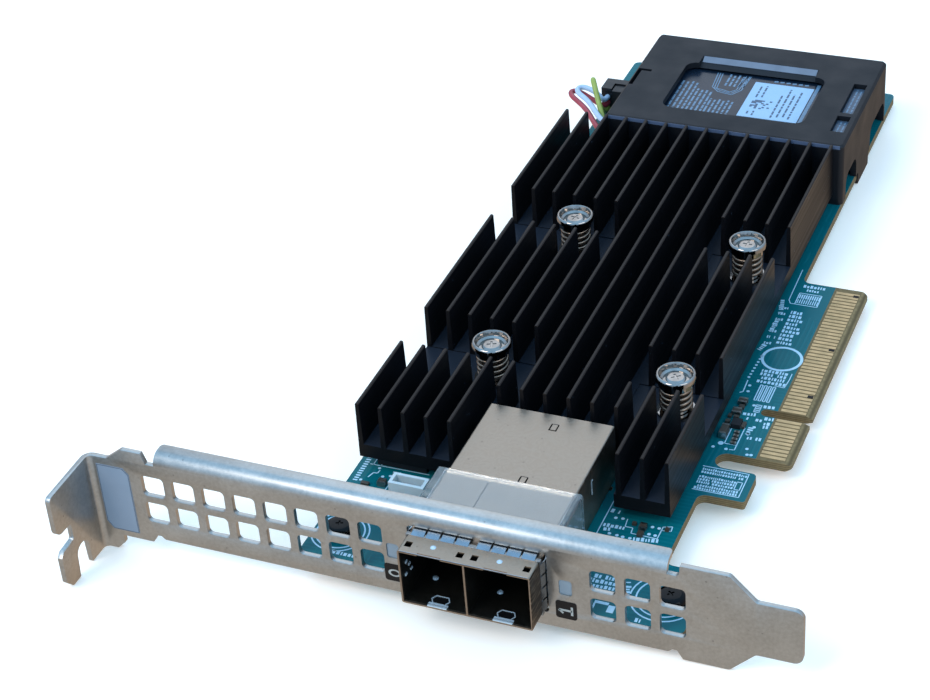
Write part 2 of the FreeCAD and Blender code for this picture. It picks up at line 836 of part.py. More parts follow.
parts["board_nuts"] = Part.makeCompound([hexagon_nut(x, y) for x, y in screw_places])

# Controller chip under the middle of the sink
chip_centre = ((screw_x[0] + screw_x[1]) / 2, (screw_y[0] + screw_y[1]) / 2)
chip_side = 27.0
substrate_height = 1.2
lid_side = 22.0
lid_height = 0.9


def square(side, low, high):
    half = side / 2
    x, y = chip_centre
    return block(x - half, x + half, y - half, y + half, low, high)


substrate_top = board_top + substrate_height
lid_top = substrate_top + lid_height
parts["controller_substrate"] = square(chip_side, board_top, substrate_top)
parts["controller_lid"] = square(lid_side, substrate_top, lid_top)
parts["thermal_pad"] = square(lid_side - 2, lid_top, base_bottom)

# Memory chips along the left edge, each with its own pad
memory_x = (40.3, 49.2)
memory_length = 11.0
memory_starts = (25.2, 56.4, 69.4, 98.6, 111.4)
memory_height = 1.1
memory_top = board_top + memory_height
inset_x, inset_y = memory_pad_inset
parts["memory_chips"] = Part.makeCompound([
    block(memory_x[0], memory_x[1], y, y + memory_length, board_top, memory_top)
    for y in memory_starts
])
parts["memory_pads"] = Part.makeCompound([
    block(memory_x[0] + inset_x, memory_x[1] - inset_x, y + inset_y, y + memory_length - inset_y,
          memory_top, base_bottom)
    for y in memory_starts
])

# Power stage at the back of the sink and small parts beside the connector
inductor_places = ((62.0, 100.0), (71.0, 100.0), (80.0, 100.0), (62.0, 110.5))
parts["power_inductors"] = Part.makeCompound([
    block(x, x + inductor_side, y, y + inductor_side, board_top, board_top + inductor_height)
    for x, y in inductor_places
])
support_chip_places = (
    (71.0, 110.5, 7.0, 7.0), (82.5, 112.0, 6.0, 5.0), (56.0, 39.0, 5.2, 5.2), (76.0, 39.5, 6.2, 5.0),
)
parts["support_chips"] = Part.makeCompound([
    block(x, x + w, y, y + d, board_top, board_top + support_chip_height)
    for x, y, w, d in support_chip_places
])
chip_parts = (
    (92.45, 48.5, 1.2, 2.7, 1.3), (93.6, 51.75, 1.6, 1.9, 0.9), (92.7, 55.35, 1.5, 1.4, 0.8),
    (92.9, 58.4, 1.5, 1.3, 0.8), (93.4, 57.2, 0.9, 0.8, 0.6), (93.35, 54.3, 0.9, 0.6, 0.6),
    (92.3, 52.8, 0.8, 0.8, 0.5), (92.3, 54.4, 0.6, 0.8, 0.5), (94.6, 50.4, 0.9, 0.6, 0.4),
    (94.7, 49.4, 0.9, 0.6, 0.4), (94.75, 48.45, 0.9, 0.6, 0.4), (94.8, 47.5, 0.9, 0.5, 0.4),
    (95.3, 52.05, 0.6, 1.5, 0.5), (39.75, 19.2, 1.4, 0.65, 0.5), (42.5, 19.75, 1.4, 1.2, 0.9),
    (87.3, 21.75, 1.1, 1.35, 0.8), (87.45, 20.3, 0.95, 1.0, 0.6), (91.35, 22.8, 0.65, 0.7, 0.5),
    (85.9, 22.7, 0.65, 0.6, 0.5),
)
parts["chip_capacitors"] = Part.makeCompound([
    block(x, x + w, y, y + d, board_top, board_top + h) for x, y, w, d, h in chip_parts
])
solder_side = (
    (60.0, 60.0, 3.2, 1.6), (66.0, 60.0, 3.2, 1.6), (72.0, 60.0, 3.2, 1.6), (60.0, 66.0, 3.2, 1.6),
    (66.0, 66.0, 3.2, 1.6), (72.0, 66.0, 3.2, 1.6), (60.0, 74.0, 1.6, 0.8), (64.0, 74.0, 1.6, 0.8),
    (68.0, 74.0, 1.6, 0.8), (72.0, 74.0, 1.6, 0.8), (96.0, 66.0, 1.0, 0.5), (96.0, 70.0, 1.0, 0.5),
    (96.0, 78.0, 1.0, 0.5), (96.0, 82.0, 1.0, 0.5), (46.0, 106.0, 5.0, 4.0), (84.0, 106.0, 4.0, 4.0),
)
parts["solder_side_parts"] = Part.makeCompound([
    block(x, x + w, y, y + d, board_bottom - solder_side_height, board_bottom)
    for x, y, w, d in solder_side
])


header_right = light_x[0] - guide_bar[0] / 2 - small_header_gap
header_left = header_right - small_header_length
header_rear = small_header_front + small_header_depth
header_floor = board_top + 1.2


def small_header():
    """Shallow open box of cream plastic for a small cable."""
    wall = small_header_wall
    top = board_top + small_header_height
    near = small_header_front
    body = block(header_left, header_right, near, header_rear, board_top, top)
    return body.cut(block(header_left + wall, header_right - wall, near + wall, header_rear - wall,
                          header_floor, top + 1))


parts["small_header"] = small_header()
pin_x = [(header_left + header_right) / 2 + small_header_pitch * k for k in (-1, 0, 1)]
pin_y = (small_header_front + header_rear) / 2
pin_top = board_top + small_header_height - 2.8
half_pin = header_pin / 2
parts["small_header_pins"] = Part.makeCompound([
    block(x - half_pin, x + half_pin, pin_y - half_pin, pin_y + half_pin, header_floor, pin_top)
    for x in pin_x
])


def battery_housing():
    """Moulded cover over the battery: window, side slot, arched walls and two clips."""
    wall = housing_wall
    footprint = rounded(housing_left, housing_right, housing_front, housing_rear, housing_corner)
    shell = plate(footprint, "XY", board_top, housing_top)
    top_edges = [edge for edge in shell.Edges
                 if all(abs(vertex.Z - housing_top) < 1e-6 for vertex in edge.Vertexes)]
    shell = shell.makeChamfer(housing_chamfer, top_edges)
    roof = housing_top - wall
    above = housing_top + 1
    shell = shell.cut(block(housing_left + wall, housing_right - wall, housing_front + wall,
                            housing_rear - wall, board_top - 1, roof))
    pieces = [shell]
    low = board_bottom - tiny - hook_height
    catch = board_bottom - tiny
    for side, x in ((1, housing_left), (-1, housing_right)):
        inner = x + side * wall
        pieces.append(block(min(x, inner), max(x, inner), clip_near, clip_far, low, board_top))
        pieces.append(plate([
            (inner, low), (inner + side * 0.3, low), (inner + side * hook_reach, catch - 0.3),
            (inner + side * hook_reach, catch), (inner, catch),
        ], "XZ", clip_near, clip_far))
    body = fused(pieces)
    x0, x1, y0, y1 = window
    cuts = [plate(rounded(*window, window_corner), "XY", roof - 1, above)]
    # bevel along the far edge of the window
    bevel_end = y1 + window_bevel
    left_end, right_end = window_bevel_ends
    cuts.append(plate([
        (y1 - 0.1, roof - 0.1), (bevel_end, housing_top), (bevel_end, above), (y1 - 0.1, above),
    ], "YZ", x0 + left_end, x1 - right_end))
    # slot over the cell's edge, crossed by a thin bar
    slot_left, slot_right, slot_near, slot_far = side_slot
    cuts.append(block(slot_left, slot_right, slot_near, side_bar[0], roof - 1, above))
    cuts.append(block(slot_left, slot_right, side_bar[1], slot_far, roof - 1, above))
    # the left clip is freed from the roof by a groove shaped like an L
    groove_left = housing_left + housing_chamfer
    groove_far = clip_far - clip_groove_end
    cuts.append(block(groove_left, groove_left + clip_groove, clip_near, groove_far, roof - 1, above))
    cuts.append(block(groove_left, groove_left + clip_groove_reach, groove_far - clip_groove, groove_far,
                      roof - 1, above))
    # shallow step in the far wall
    cuts.append(block(*far_step, housing_rear - far_step_depth, housing_rear + 1, board_top - 1, above))
    for near, far in (arch_near, arch_far):
        arch = [(near, board_top - 1), (far, board_top - 1), (far, arch_top, 2.2), (near, arch_top, 2.2)]
        cuts.append(plate(arch, "YZ", housing_right - wall - 1, housing_right + 1))
    # hole for the leads in the left wall
    cuts.append(plate(rounded(*lead_hole, 0.8), "YZ", housing_left - 1, housing_left + wall + 1))
    return body.cut(Part.makeCompound(cuts))


parts["battery_housing"] = battery_housing()


def battery_pack():
    """Wrapped cell under the window, closed and filled."""
    x0, x1, y0, y1 = battery
    cell = block(x0, x1, y0, y1, battery_bottom, battery_top)
    near, far = y0 + cradle_inset, y1 - cradle_inset
    starts = (x0 + cradle_inset, x1 - cradle_inset - cradle_width)
    cradle = [block(x, x + cradle_width, near, far, board_top, battery_bottom) for x in starts]
    return cell, Part.makeCompound(cradle)


parts["battery_pack"], parts["battery_foam"] = battery_pack()
label_x0, label_x1, label_y0, label_y1 = label_box
parts["battery_label"] = block(label_x0, label_x1, label_y0, label_y1, battery_top, battery_top + film)


def battery_header():
    """Black board header for the battery plug, open on its front side."""
    x0, x1, y0, y1 = header_box
    top = board_top + header_height
    body = block(x0, x1, y0, y1, board_top, top)
    mouth = block(x0 + 0.7, x1 - 0.7, y0 - 1, y1 - 1.2, board_top + 0.9, top - 0.8)
    slot = block(x0 + 2.2, x1 - 2.2, y0 - 1, y1 - 1.8, top - 1, top + 1)
    return body.cut(mouth).cut(slot)


parts["battery_header"] = battery_header()


def battery_plug():
    """Crimp housing on the battery leads, pushed into the header."""
    x0, x1, y0, y1 = header_box
    top = board_top + header_height
    body = block(x0 + 0.8, x1 - 0.8, plug_face, y1 - 1.3, board_top + 1.0, top - 0.9)
    rib = block(x0 + 2.4, x1 - 2.4, plug_face, y1 - 2.0, top - 0.9, top - 0.3)
    return fused([body, rib])


plug_face = header_box[2] - plug_stand
parts["battery_plug"] = battery_plug()

# Battery leads: corners of each route from the plug, out over the board's edge and back to the cell
cell_face = battery[0]
lead_routes = {
    "battery_lead_red": [
        (38.9, plug_face, 7.2), (38.9, 144.8, 7.2), (36.6, 144.9, 8.6), (32.0, 147.3, 9.1),
        (31.0, 145.0, 9.3), (36.7, 139.6, 9.7), (40.4, 134.0, 10.2), (43.4, 129.6, 10.6),
        (cell_face, 129.6, 10.6),
    ],
    "battery_lead_white": [
        (38.9, plug_face, 8.5), (38.9, 144.8, 8.5), (37.2, 145.4, 10.2), (33.6, 146.6, 10.6),
        (32.8, 144.4, 10.5), (37.2, 140.6, 10.7), (40.4, 135.8, 11.1), (43.8, 131.0, 11.8),
        (cell_face, 131.0, 11.8),
    ],
    "battery_lead_yellow": [
        (38.9, plug_face, 5.9), (38.9, 143.2, 5.9), (37.2, 143.2, 15.0), (38.3, 140.9, 14.8),
        (40.9, 137.6, 10.2), (43.6, 132.6, 9.4), (cell_face, 132.6, 9.4),
    ],
}


def lead(route):
    """An eight-sided lead: straight runs joined by tangent arcs as large as the runs allow."""
    corners = [Vector(*point) for point in route]
    path = []
    leave = corners[0]
    radii = []
    for i in range(1, len(corners) - 1):
        back = corners[i - 1] - corners[i]
        ahead = corners[i + 1] - corners[i]
        run = 0.45 * min(back.Length, ahead.Length)
        half = back.getAngle(ahead) / 2
        back.normalize()
        ahead.normalize()
        radius = run * math.tan(half)
        radii.append(radius)
        first = corners[i] + back * run
        last = corners[i] + ahead * run
        middle = back + ahead
        middle.normalize()
        top = corners[i] + middle * (radius / math.sin(half) - radius)
        path.append(Part.LineSegment(leave, first).toShape())
        path.append(Part.Arc(first, top, last).toShape())
        leave = last
    path.append(Part.LineSegment(leave, corners[-1]).toShape())
    spine = Part.Wire(path)
    # every route starts straight along Y, so the first section lies in XZ
    x, y, z = route[0]
    across = lead_diameter / 2
    ring = [Vector(x + across * math.cos(math.pi * s / 4), y, z + across * math.sin(math.pi * s / 4))
            for s in range(8)]
    section = Part.makePolygon(ring + ring[:1])
    tube = spine.makePipeShell([section], True, False)
    return tube, spine.Length * Part.Face(section).Area, radii


for name, route in lead_routes.items():
    tube, swept, radii = lead(route)
    parts[name] = tube
    print(name, "arc radii", [round(radius, 1) for radius in radii])
    print(name, "volume ratio %.3f" % (tube.Volume / swept))

# Bare film label on the bracket and the two number plates beside the ports
bend_end = sheet + fold_radius
parts["bracket_label"] = plate([
    (bend_end + 1.4, 1.2), (bend_end + 6.2, 1.2), (bend_end + 6.2, 13.4), (bend_end + 5.2, 14.6),
    (bend_end + 0.3, 14.6), (bend_end + 0.3, 2.6),
], "XZ", -film, 0)
parts["port_number_plates"] = Part.makeCompound([
    plate(rounded(x - label_size / 2, x + label_size / 2, label_height - label_size / 2,
                  label_height + label_size / 2, label_corner), "XZ", -film, 0) for x in light_x
])

os.makedirs("parts", exist_ok=True)
for name, shape in parts.items():
    shape.exportStep("parts/%s.step" % name)
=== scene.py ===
import math
import random

import bmesh
import bpy
from bpy.props import FloatProperty, FloatVectorProperty, PointerProperty
from mathutils import Matrix, Vector


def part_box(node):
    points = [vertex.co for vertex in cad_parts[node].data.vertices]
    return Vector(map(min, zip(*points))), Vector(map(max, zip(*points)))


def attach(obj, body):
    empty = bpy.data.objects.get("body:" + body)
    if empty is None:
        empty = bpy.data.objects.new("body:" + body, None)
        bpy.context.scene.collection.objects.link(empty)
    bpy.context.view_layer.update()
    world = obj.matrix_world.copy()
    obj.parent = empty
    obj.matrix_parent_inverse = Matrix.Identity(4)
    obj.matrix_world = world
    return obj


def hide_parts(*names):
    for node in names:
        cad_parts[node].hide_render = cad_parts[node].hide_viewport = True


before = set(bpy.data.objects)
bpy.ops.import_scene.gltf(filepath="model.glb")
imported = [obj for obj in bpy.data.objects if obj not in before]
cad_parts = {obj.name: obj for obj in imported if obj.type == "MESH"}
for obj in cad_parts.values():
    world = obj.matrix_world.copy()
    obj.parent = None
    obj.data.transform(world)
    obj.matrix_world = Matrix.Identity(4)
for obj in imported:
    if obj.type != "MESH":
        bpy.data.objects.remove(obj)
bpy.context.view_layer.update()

bl_info = {
    "name": "Storage controller card",
    "version": (1, 0, 0),
    "blender": (4, 5, 0),
    "location": "View3D > Sidebar > Card",
    "description": "Finishes the storage controller card, its printed marks, screws, springs, leads and stage",
    "category": "Object",
}

MM = 0.001

# Sizes of the card in millimetres, as the CAD model has them
BOARD_TOP = 4.2
CONTACTS_START = 99.9
CONNECTOR_NEAR = 45.0
SCREW_PLACES = [(x, y) for x in (52.775, 85.52) for y in (47.5, 89.5)]
FOOT_SCREW_PLACES = ((41.6, 7.2), (97.4, 7.2))
LIGHT_X = (54.45, 83.05)
PLATE_FRONT = -0.1
PORT_MIDDLES = (63.325, 74.175)
PORT_FLOOR = BOARD_TOP + 0.25
CAGE_TOP = 14.66
CAGE_SIDES = (58.0, 79.5)
CAGE_FRONT = -5.3
ROOF_TABS_X = 70.25
ROOF_TABS_Y = (16.4, 30.6)
FILM_TOP = 15.6
LABEL_TOP = 15.7
SINK_FLOOR = 9.3
FIN_TOP = 17.64
SLOT_LABEL_TOP = 16.3
SLOT_OPENINGS = ((130.7, 136.6), (138.1, 149.7))
# the print's thickness each side of the surface that it lies on
INK = 0.02
# height of the digits beside the ports
DIGIT_LEVEL = 4.85


def linear(code):
    """Turns an sRGB hex colour into linear red, green, blue and alpha."""
    channels = [int(code[start:start + 2], 16) / 255 for start in (1, 3, 5)]
    return (*(value / 12.92 if value <= 0.04045 else ((value + 0.055) / 1.055) ** 2.4 for value in channels), 1.0)


def colour_setting(name, subject, code):
    return FloatVectorProperty(name=name, description="Colour of the " + subject, default=linear(code), size=4,
                               min=0.0, max=1.0, subtype="COLOR")


def length_setting(name, description, length, least, most):
    return FloatProperty(name=name, description=description, default=length * MM, min=least * MM, max=most * MM,
                         unit="LENGTH")


class CardColours(bpy.types.PropertyGroup):
    mask: colour_setting("Solder mask", "board's glossy mask over bare laminate", "#046165")
    mask_copper: colour_setting("Mask over copper", "mask where copper lies under it", "#1b777c")
    print_ink: colour_setting("Printed marks", "marks on the board", "#bcdcec")
    bracket: colour_setting("Bracket", "zinc-plated steel bracket", "#bcbab5")
    cage: colour_setting("Port cage", "plated port cage", "#a29282")
    anodised: colour_setting("Heat sink", "black anodised sink", "#09090b")
    housing: colour_setting("Battery cover", "moulded battery cover", "#101218")
    film: colour_setting("Battery film", "film round the cell", "#122030")
    red_lead: colour_setting("Red lead", "first battery lead", "#b03b46")
    white_lead: colour_setting("White lead", "second battery lead", "#b9cbe0")
    yellow_lead: colour_setting("Yellow lead", "third battery lead", "#a2ae50")


class CardSizes(bpy.types.PropertyGroup):
    line: length_setting("Printed line", "Width of a printed line on the board", 0.16, 0.05, 1.0)
    mark: length_setting("Printed mark", "Height of the small marks beside the parts", 0.92, 0.3, 3.0)
    edge: length_setting("Broken edge", "Width of the rounding on the bracket's sheared edges", 0.14, 0.0, 0.3)
    spring_wire: length_setting("Spring wire", "Thickness of the wire in the four springs", 0.68, 0.3, 0.7)
    lead: length_setting("Lead", "Outside diameter of a battery lead", 1.1, 0.6, 1.1)


class CardStage(bpy.types.PropertyGroup):
    azimuth: FloatProperty(name="Camera azimuth", description="Angle of the camera round the card",
                           default=math.radians(24.843), subtype="ANGLE")
    elevation: FloatProperty(name="Camera elevation", description="Angle of the camera above the card",
                             default=math.radians(35.220), subtype="ANGLE")
    roll: FloatProperty(name="Camera roll", description="Lean of the camera", default=-0.08361, subtype="ANGLE")
    distance: FloatProperty(name="Camera distance", description="From the camera to the middle of the card",
                            default=397.719 * MM, min=0.1, unit="LENGTH")
    lens: FloatProperty(name="Lens", description="Focal length of the camera in millimetres", default=86.34)
    floor: colour_setting("Floor", "floor under the card", "#fff3e4")


# Shader nodes

def outlet(source):
    """The socket that a link starts from: a colour mix gives its third, any other node its first."""
    if isinstance(source, bpy.types.Node):
        return source.outputs[2 if getattr(source, "data_type", "") == "RGBA" else 0]
    return source


def add(tree, kind, values):
    """Adds a shader node. Each value sets an input or a setting, or is a node or socket to link from.

    A Mix node mixes colours unless its values say otherwise.
    """
    made = tree.nodes.new("ShaderNode" + kind)
    if kind == "Mix":
        made.data_type = "RGBA"
    for key, value in values.items():
        value = outlet(value)
        if isinstance(value, bpy.types.NodeSocket):
            tree.links.new(value, made.inputs[key])
        elif isinstance(key, int) or key in made.inputs:
            made.inputs[key].default_value = value
        else:
            setattr(made, key, value)
    return made


def blank(name, **constants):
    """A material with only its shader and output; constants go on the shader's own sockets."""
    material = bpy.data.materials.new(name)
    material.use_nodes = True
    tree = material.node_tree
    tree.nodes.clear()
    shader = add(tree, "BsdfPrincipled", {key.replace("_", " "): value for key, value in constants.items()})
    add(tree, "OutputMaterial", {"Surface": shader})
    return material, tree, shader, add(tree, "TexCoord", {}).outputs["Object"]


def region(tree, *tests):
    """A mask that is 1 where every test holds. A test is a source, above or below, and a limit."""
    mask = None
    for source, side, limit in tests:
        operation = {"above": "GREATER_THAN", "below": "LESS_THAN"}[side]
        test = add(tree, "Math", {"operation": operation, 0: source, 1: limit})
        mask = test if mask is None else add(tree, "Math", {"operation": "MULTIPLY", 0: mask, 1: test})
    return mask


def surface(tree, shader, colour, sheen, rough, relief, strength, depth, spread=(0.3, 0.7)):
    """Gives a shader its colour, a roughness that follows one pattern and the relief of another.

    Rough is the roughness at the two ends of the pattern's spread, and depth is the relief's height in
    millimetres.
    """
    gloss = add(tree, "MapRange", {"From Min": spread[0], "From Max": spread[1], "To Min": rough[0],
                                   "To Max": rough[1], "Value": sheen})
    bump = add(tree, "Bump", {"Strength": strength, "Distance": depth * MM, "Height": relief})
    for socket, source in (("Base Color", colour), ("Roughness", gloss), ("Normal", bump)):
        tree.links.new(outlet(source), shader.inputs[socket])


def wandering(name, light, dark, patch, grain, depth, rough, **constants):
    """A finish whose colour and gloss wander between two near shades, over a fine relief.

    Patch and grain are the sizes of the shades and of the relief, and depth is the relief's height,
    all in millimetres. Rough is the lowest and the highest roughness.
    """
    material, tree, shader, place = blank(name, **constants)
    shades = add(tree, "TexNoise", {"Scale": 1000 / patch, "Detail": 3.0, "Vector": place})
    colour = add(tree, "Mix", {0: shades, 6: light, 7: dark})
    relief = add(tree, "TexNoise", {"Scale": 1000 / grain, "Detail": 2.0, "Vector": place})
    surface(tree, shader, colour, shades, rough, relief, 0.6, depth)
    return material


def board_finish(colours):
    """FR-4 laminate under a glossy teal solder mask.

    The mask is clear enough that copper under it reads lighter: fine traces run in patches. The cut
    edges and the connector's bevel are bare laminate, olive-brown, with the glass layers as faint lines.
    """
    material, tree, shader, place = blank("board_fr4_teal_mask", Specular_IOR_Level=0.1)
    x, y = add(tree, "SeparateXYZ", {0: place}).outputs[:2]
    # traces 0.35 mm apart are drawn 0.9 mm apart so that they show
    across, along = [add(tree, "TexWave", {"bands_direction": axis, "Scale": 345.0, "Distortion": 1.5, "Detail": 1.0,
                                           "Detail Scale": 0.6, "Vector": place}).outputs["Fac"] for axis in "YX"]
    # they run one way or the other from zone to zone, and some zones have none
    zones = add(tree, "TexVoronoi", {"Scale": 120.0, "Randomness": 0.9, "Vector": place})
    way, share = add(tree, "SeparateColor", {0: zones.outputs["Color"]}).outputs[:2]
    lines = add(tree, "Mix", {"data_type": "FLOAT", 0: region(tree, (way, "above", 0.5)), 2: across, 3: along})
    sharp = add(tree, "MapRange", {"From Min": 0.55, "From Max": 0.75, "Value": lines})
    traces = add(tree, "Math", {"operation": "MULTIPLY", 0: sharp, 1: region(tree, (share, "above", 0.35))})
    faint = add(tree, "Math", {"operation": "MULTIPLY", 0: traces, 1: 0.22})
    mask = add(tree, "Mix", {0: faint, 6: colours.mask, 7: colours.mask_copper})
    cloud = add(tree, "TexNoise", {"Scale": 90.0, "Detail": 2.0, "Vector": place})
    tint = add(tree, "Mix", {"blend_type": "MULTIPLY", 0: cloud, 6: mask, 7: (0.75, 0.9, 1.0, 1.0)})
    # laminate: edges, and the connector outside the mask
    layers = add(tree, "TexWave", {"bands_direction": "Z", "Scale": 800.0, "Distortion": 0.6, "Vector": place})
    fibre = add(tree, "TexNoise", {"Scale": 1400.0, "Detail": 3.0, "Vector": place})
    weave = add(tree, "Math", {"operation": "MULTIPLY", 0: layers.outputs["Fac"], 1: fibre})
    bare = add(tree, "Mix", {0: weave, 6: linear("#5a4c35"), 7: linear("#9b845e")})
    facing = add(tree, "SeparateXYZ", {0: add(tree, "NewGeometry", {}).outputs["Normal"]})
    level = add(tree, "Math", {"operation": "ABSOLUTE", 0: facing.outputs["Z"]})
    connector = region(tree, (x, "above", CONTACTS_START * MM), (y, "above", (CONNECTOR_NEAR - 0.5) * MM))
    uncovered = add(tree, "Math", {"operation": "MAXIMUM", 0: region(tree, (level, "below", 0.97)), 1: connector})
    colour = add(tree, "Mix", {0: uncovered, 6: tint, 7: bare})
    surface(tree, shader, colour, uncovered, (0.25, 0.6), traces, 0.4, 0.03, spread=(0.0, 1.0))
    return material


def pitted(tree, place, shade, colour, dull, scale, near, far, darkest):
    """Sheet metal that wanders between a duller shade and its own, with small dark pits."""
    tone = add(tree, "Mix", {0: shade, 6: (*(Vector(colour[:3]) * dull), 1.0), 7: colour})
    pits = add(tree, "TexVoronoi", {"Scale": scale, "Vector": place})
    pit = add(tree, "MapRange", {"From Min": near, "From Max": far, "To Min": darkest, "Value": pits})
    return add(tree, "Mix", {"blend_type": "MULTIPLY", 0: 1.0, 6: tone, 7: pit})


def bracket_finish(colours):
    """Cold-rolled steel, zinc plated and passivated clear: satin and warm grey, with a fine mottle,
    soft clouds and a few dark pits from handling."""
    material, tree, shader, place = blank("bracket_zinc_plated_steel", Metallic=1.0)
    clouds = add(tree, "TexNoise", {"Scale": 110.0, "Detail": 5.0, "Roughness": 0.65, "Vector": place})
    # the plating's spangle of 0.1 mm is drawn 0.6 mm coarse so that it shows
    mottle = add(tree, "TexNoise", {"Scale": 1600.0, "Detail": 3.0, "Roughness": 0.7, "Vector": place})
    both = add(tree, "Math", {"operation": "ADD", 0: clouds, 1: mottle})
    shade = add(tree, "MapRange", {"From Min": 0.75, "From Max": 1.25, "Value": both})
    colour = pitted(tree, place, shade, colours.bracket, 0.74, 420.0, 0.03, 0.09, 0.6)
    surface(tree, shader, colour, both, (0.34, 0.44), mottle, 0.25, 0.01, spread=(0.8, 1.2))
    return material


def cage_finish(colours):
    """Copper alloy sheet, dull nickel plated: warm and light, with uneven wiped smudges and small dark
    blots. Inside the ports the sheet is painted dark grey-brown as painted shade, so that it shows almost black."""
    material, tree, shader, place = blank("cage_nickel_plated", Metallic=1.0)
    x, y, z = add(tree, "SeparateXYZ", {0: place}).outputs
    smudges = add(tree, "TexNoise", {"Scale": 380.0, "Detail": 3.0, "Distortion": 4.0, "Vector": place})
    shade = add(tree, "MapRange", {"From Min": 0.35, "From Max": 0.65, "Value": smudges})
    worn = pitted(tree, place, shade, colours.cage, 0.86, 520.0, 0.05, 0.13, 0.7)
    left, right = (side * MM for side in CAGE_SIDES)
    port_shade_mask = region(tree, (x, "above", left), (x, "below", right), (z, "below", (CAGE_TOP - 0.1) * MM),
                    (y, "above", (CAGE_FRONT + 0.4) * MM))
    # painted shade: inside the ports the sheet is coloured dark grey-brown
    port_shaded = add(tree, "Mix", {0: port_shade_mask, 6: worn, 7: linear("#57534b")})
    # warm painted reflection with dark streaks on its right side, where it stands out in front of the bracket
    flank = region(tree, (x, "above", right), (y, "below", 0.0))
    streaks = add(tree, "Mapping", {"Scale": (300.0, 300.0, 1800.0), "Vector": place})
    streak = add(tree, "TexNoise", {"Scale": 1.0, "Detail": 3.0, "Vector": streaks})
    reflection_streaks = add(tree, "MapRange", {"From Min": 0.5, "From Max": 0.7, "Value": streak})
    side_reflection = add(tree, "Mix", {0: reflection_streaks, 6: linear("#3a332d"), 7: linear("#8d8273")})
    colour = add(tree, "Mix", {0: flank, 6: port_shaded, 7: side_reflection})
    surface(tree, shader, colour, smudges, (0.34, 0.46), smudges, 0.12, 0.01)
    return material


def anodised_finish(colours):
    """Extruded aluminium, bead blasted and anodised black: nearly black and satin, with faint die
    lines along the fins, a scatter of pale dust and a painted highlight along the fin tips."""
    material, tree, shader, place = blank("sink_black_anodised", Specular_IOR_Level=0.12)
    z = add(tree, "SeparateXYZ", {0: place}).outputs["Z"]
    facing = add(tree, "SeparateXYZ", {0: add(tree, "NewGeometry", {}).outputs["Normal"]})
    drawn = add(tree, "Mapping", {"Scale": (2200.0, 25.0, 2200.0), "Vector": place})
    lines = add(tree, "TexNoise", {"Scale": 1.0, "Detail": 2.0, "Vector": drawn})
    brighter = Vector(colours.anodised[:3]) * 1.9
    colour = add(tree, "Mix", {0: lines, 6: colours.anodised, 7: (*brighter, 1.0)})
    dust = add(tree, "TexVoronoi", {"Scale": 330.0, "Vector": place})
    # scattered dust, the floors between the fins coloured a paler blue-grey, and a painted highlight along the fin
    # tips
    for mask, shade in (
            (region(tree, (dust, "below", 0.035)), "#6b7684"),
            (region(tree, (facing.outputs["Z"], "above", 0.9), (z, "below", (SINK_FLOOR + 0.6) * MM)), "#1d232c"),
            (region(tree, (z, "above", (FIN_TOP - 0.2) * MM)), "#261f1c")):
        colour = add(tree, "Mix", {0: mask, 6: colour, 7: linear(shade)})
    surface(tree, shader, colour, lines, (0.34, 0.48), lines, 0.3, 0.02)
    return material


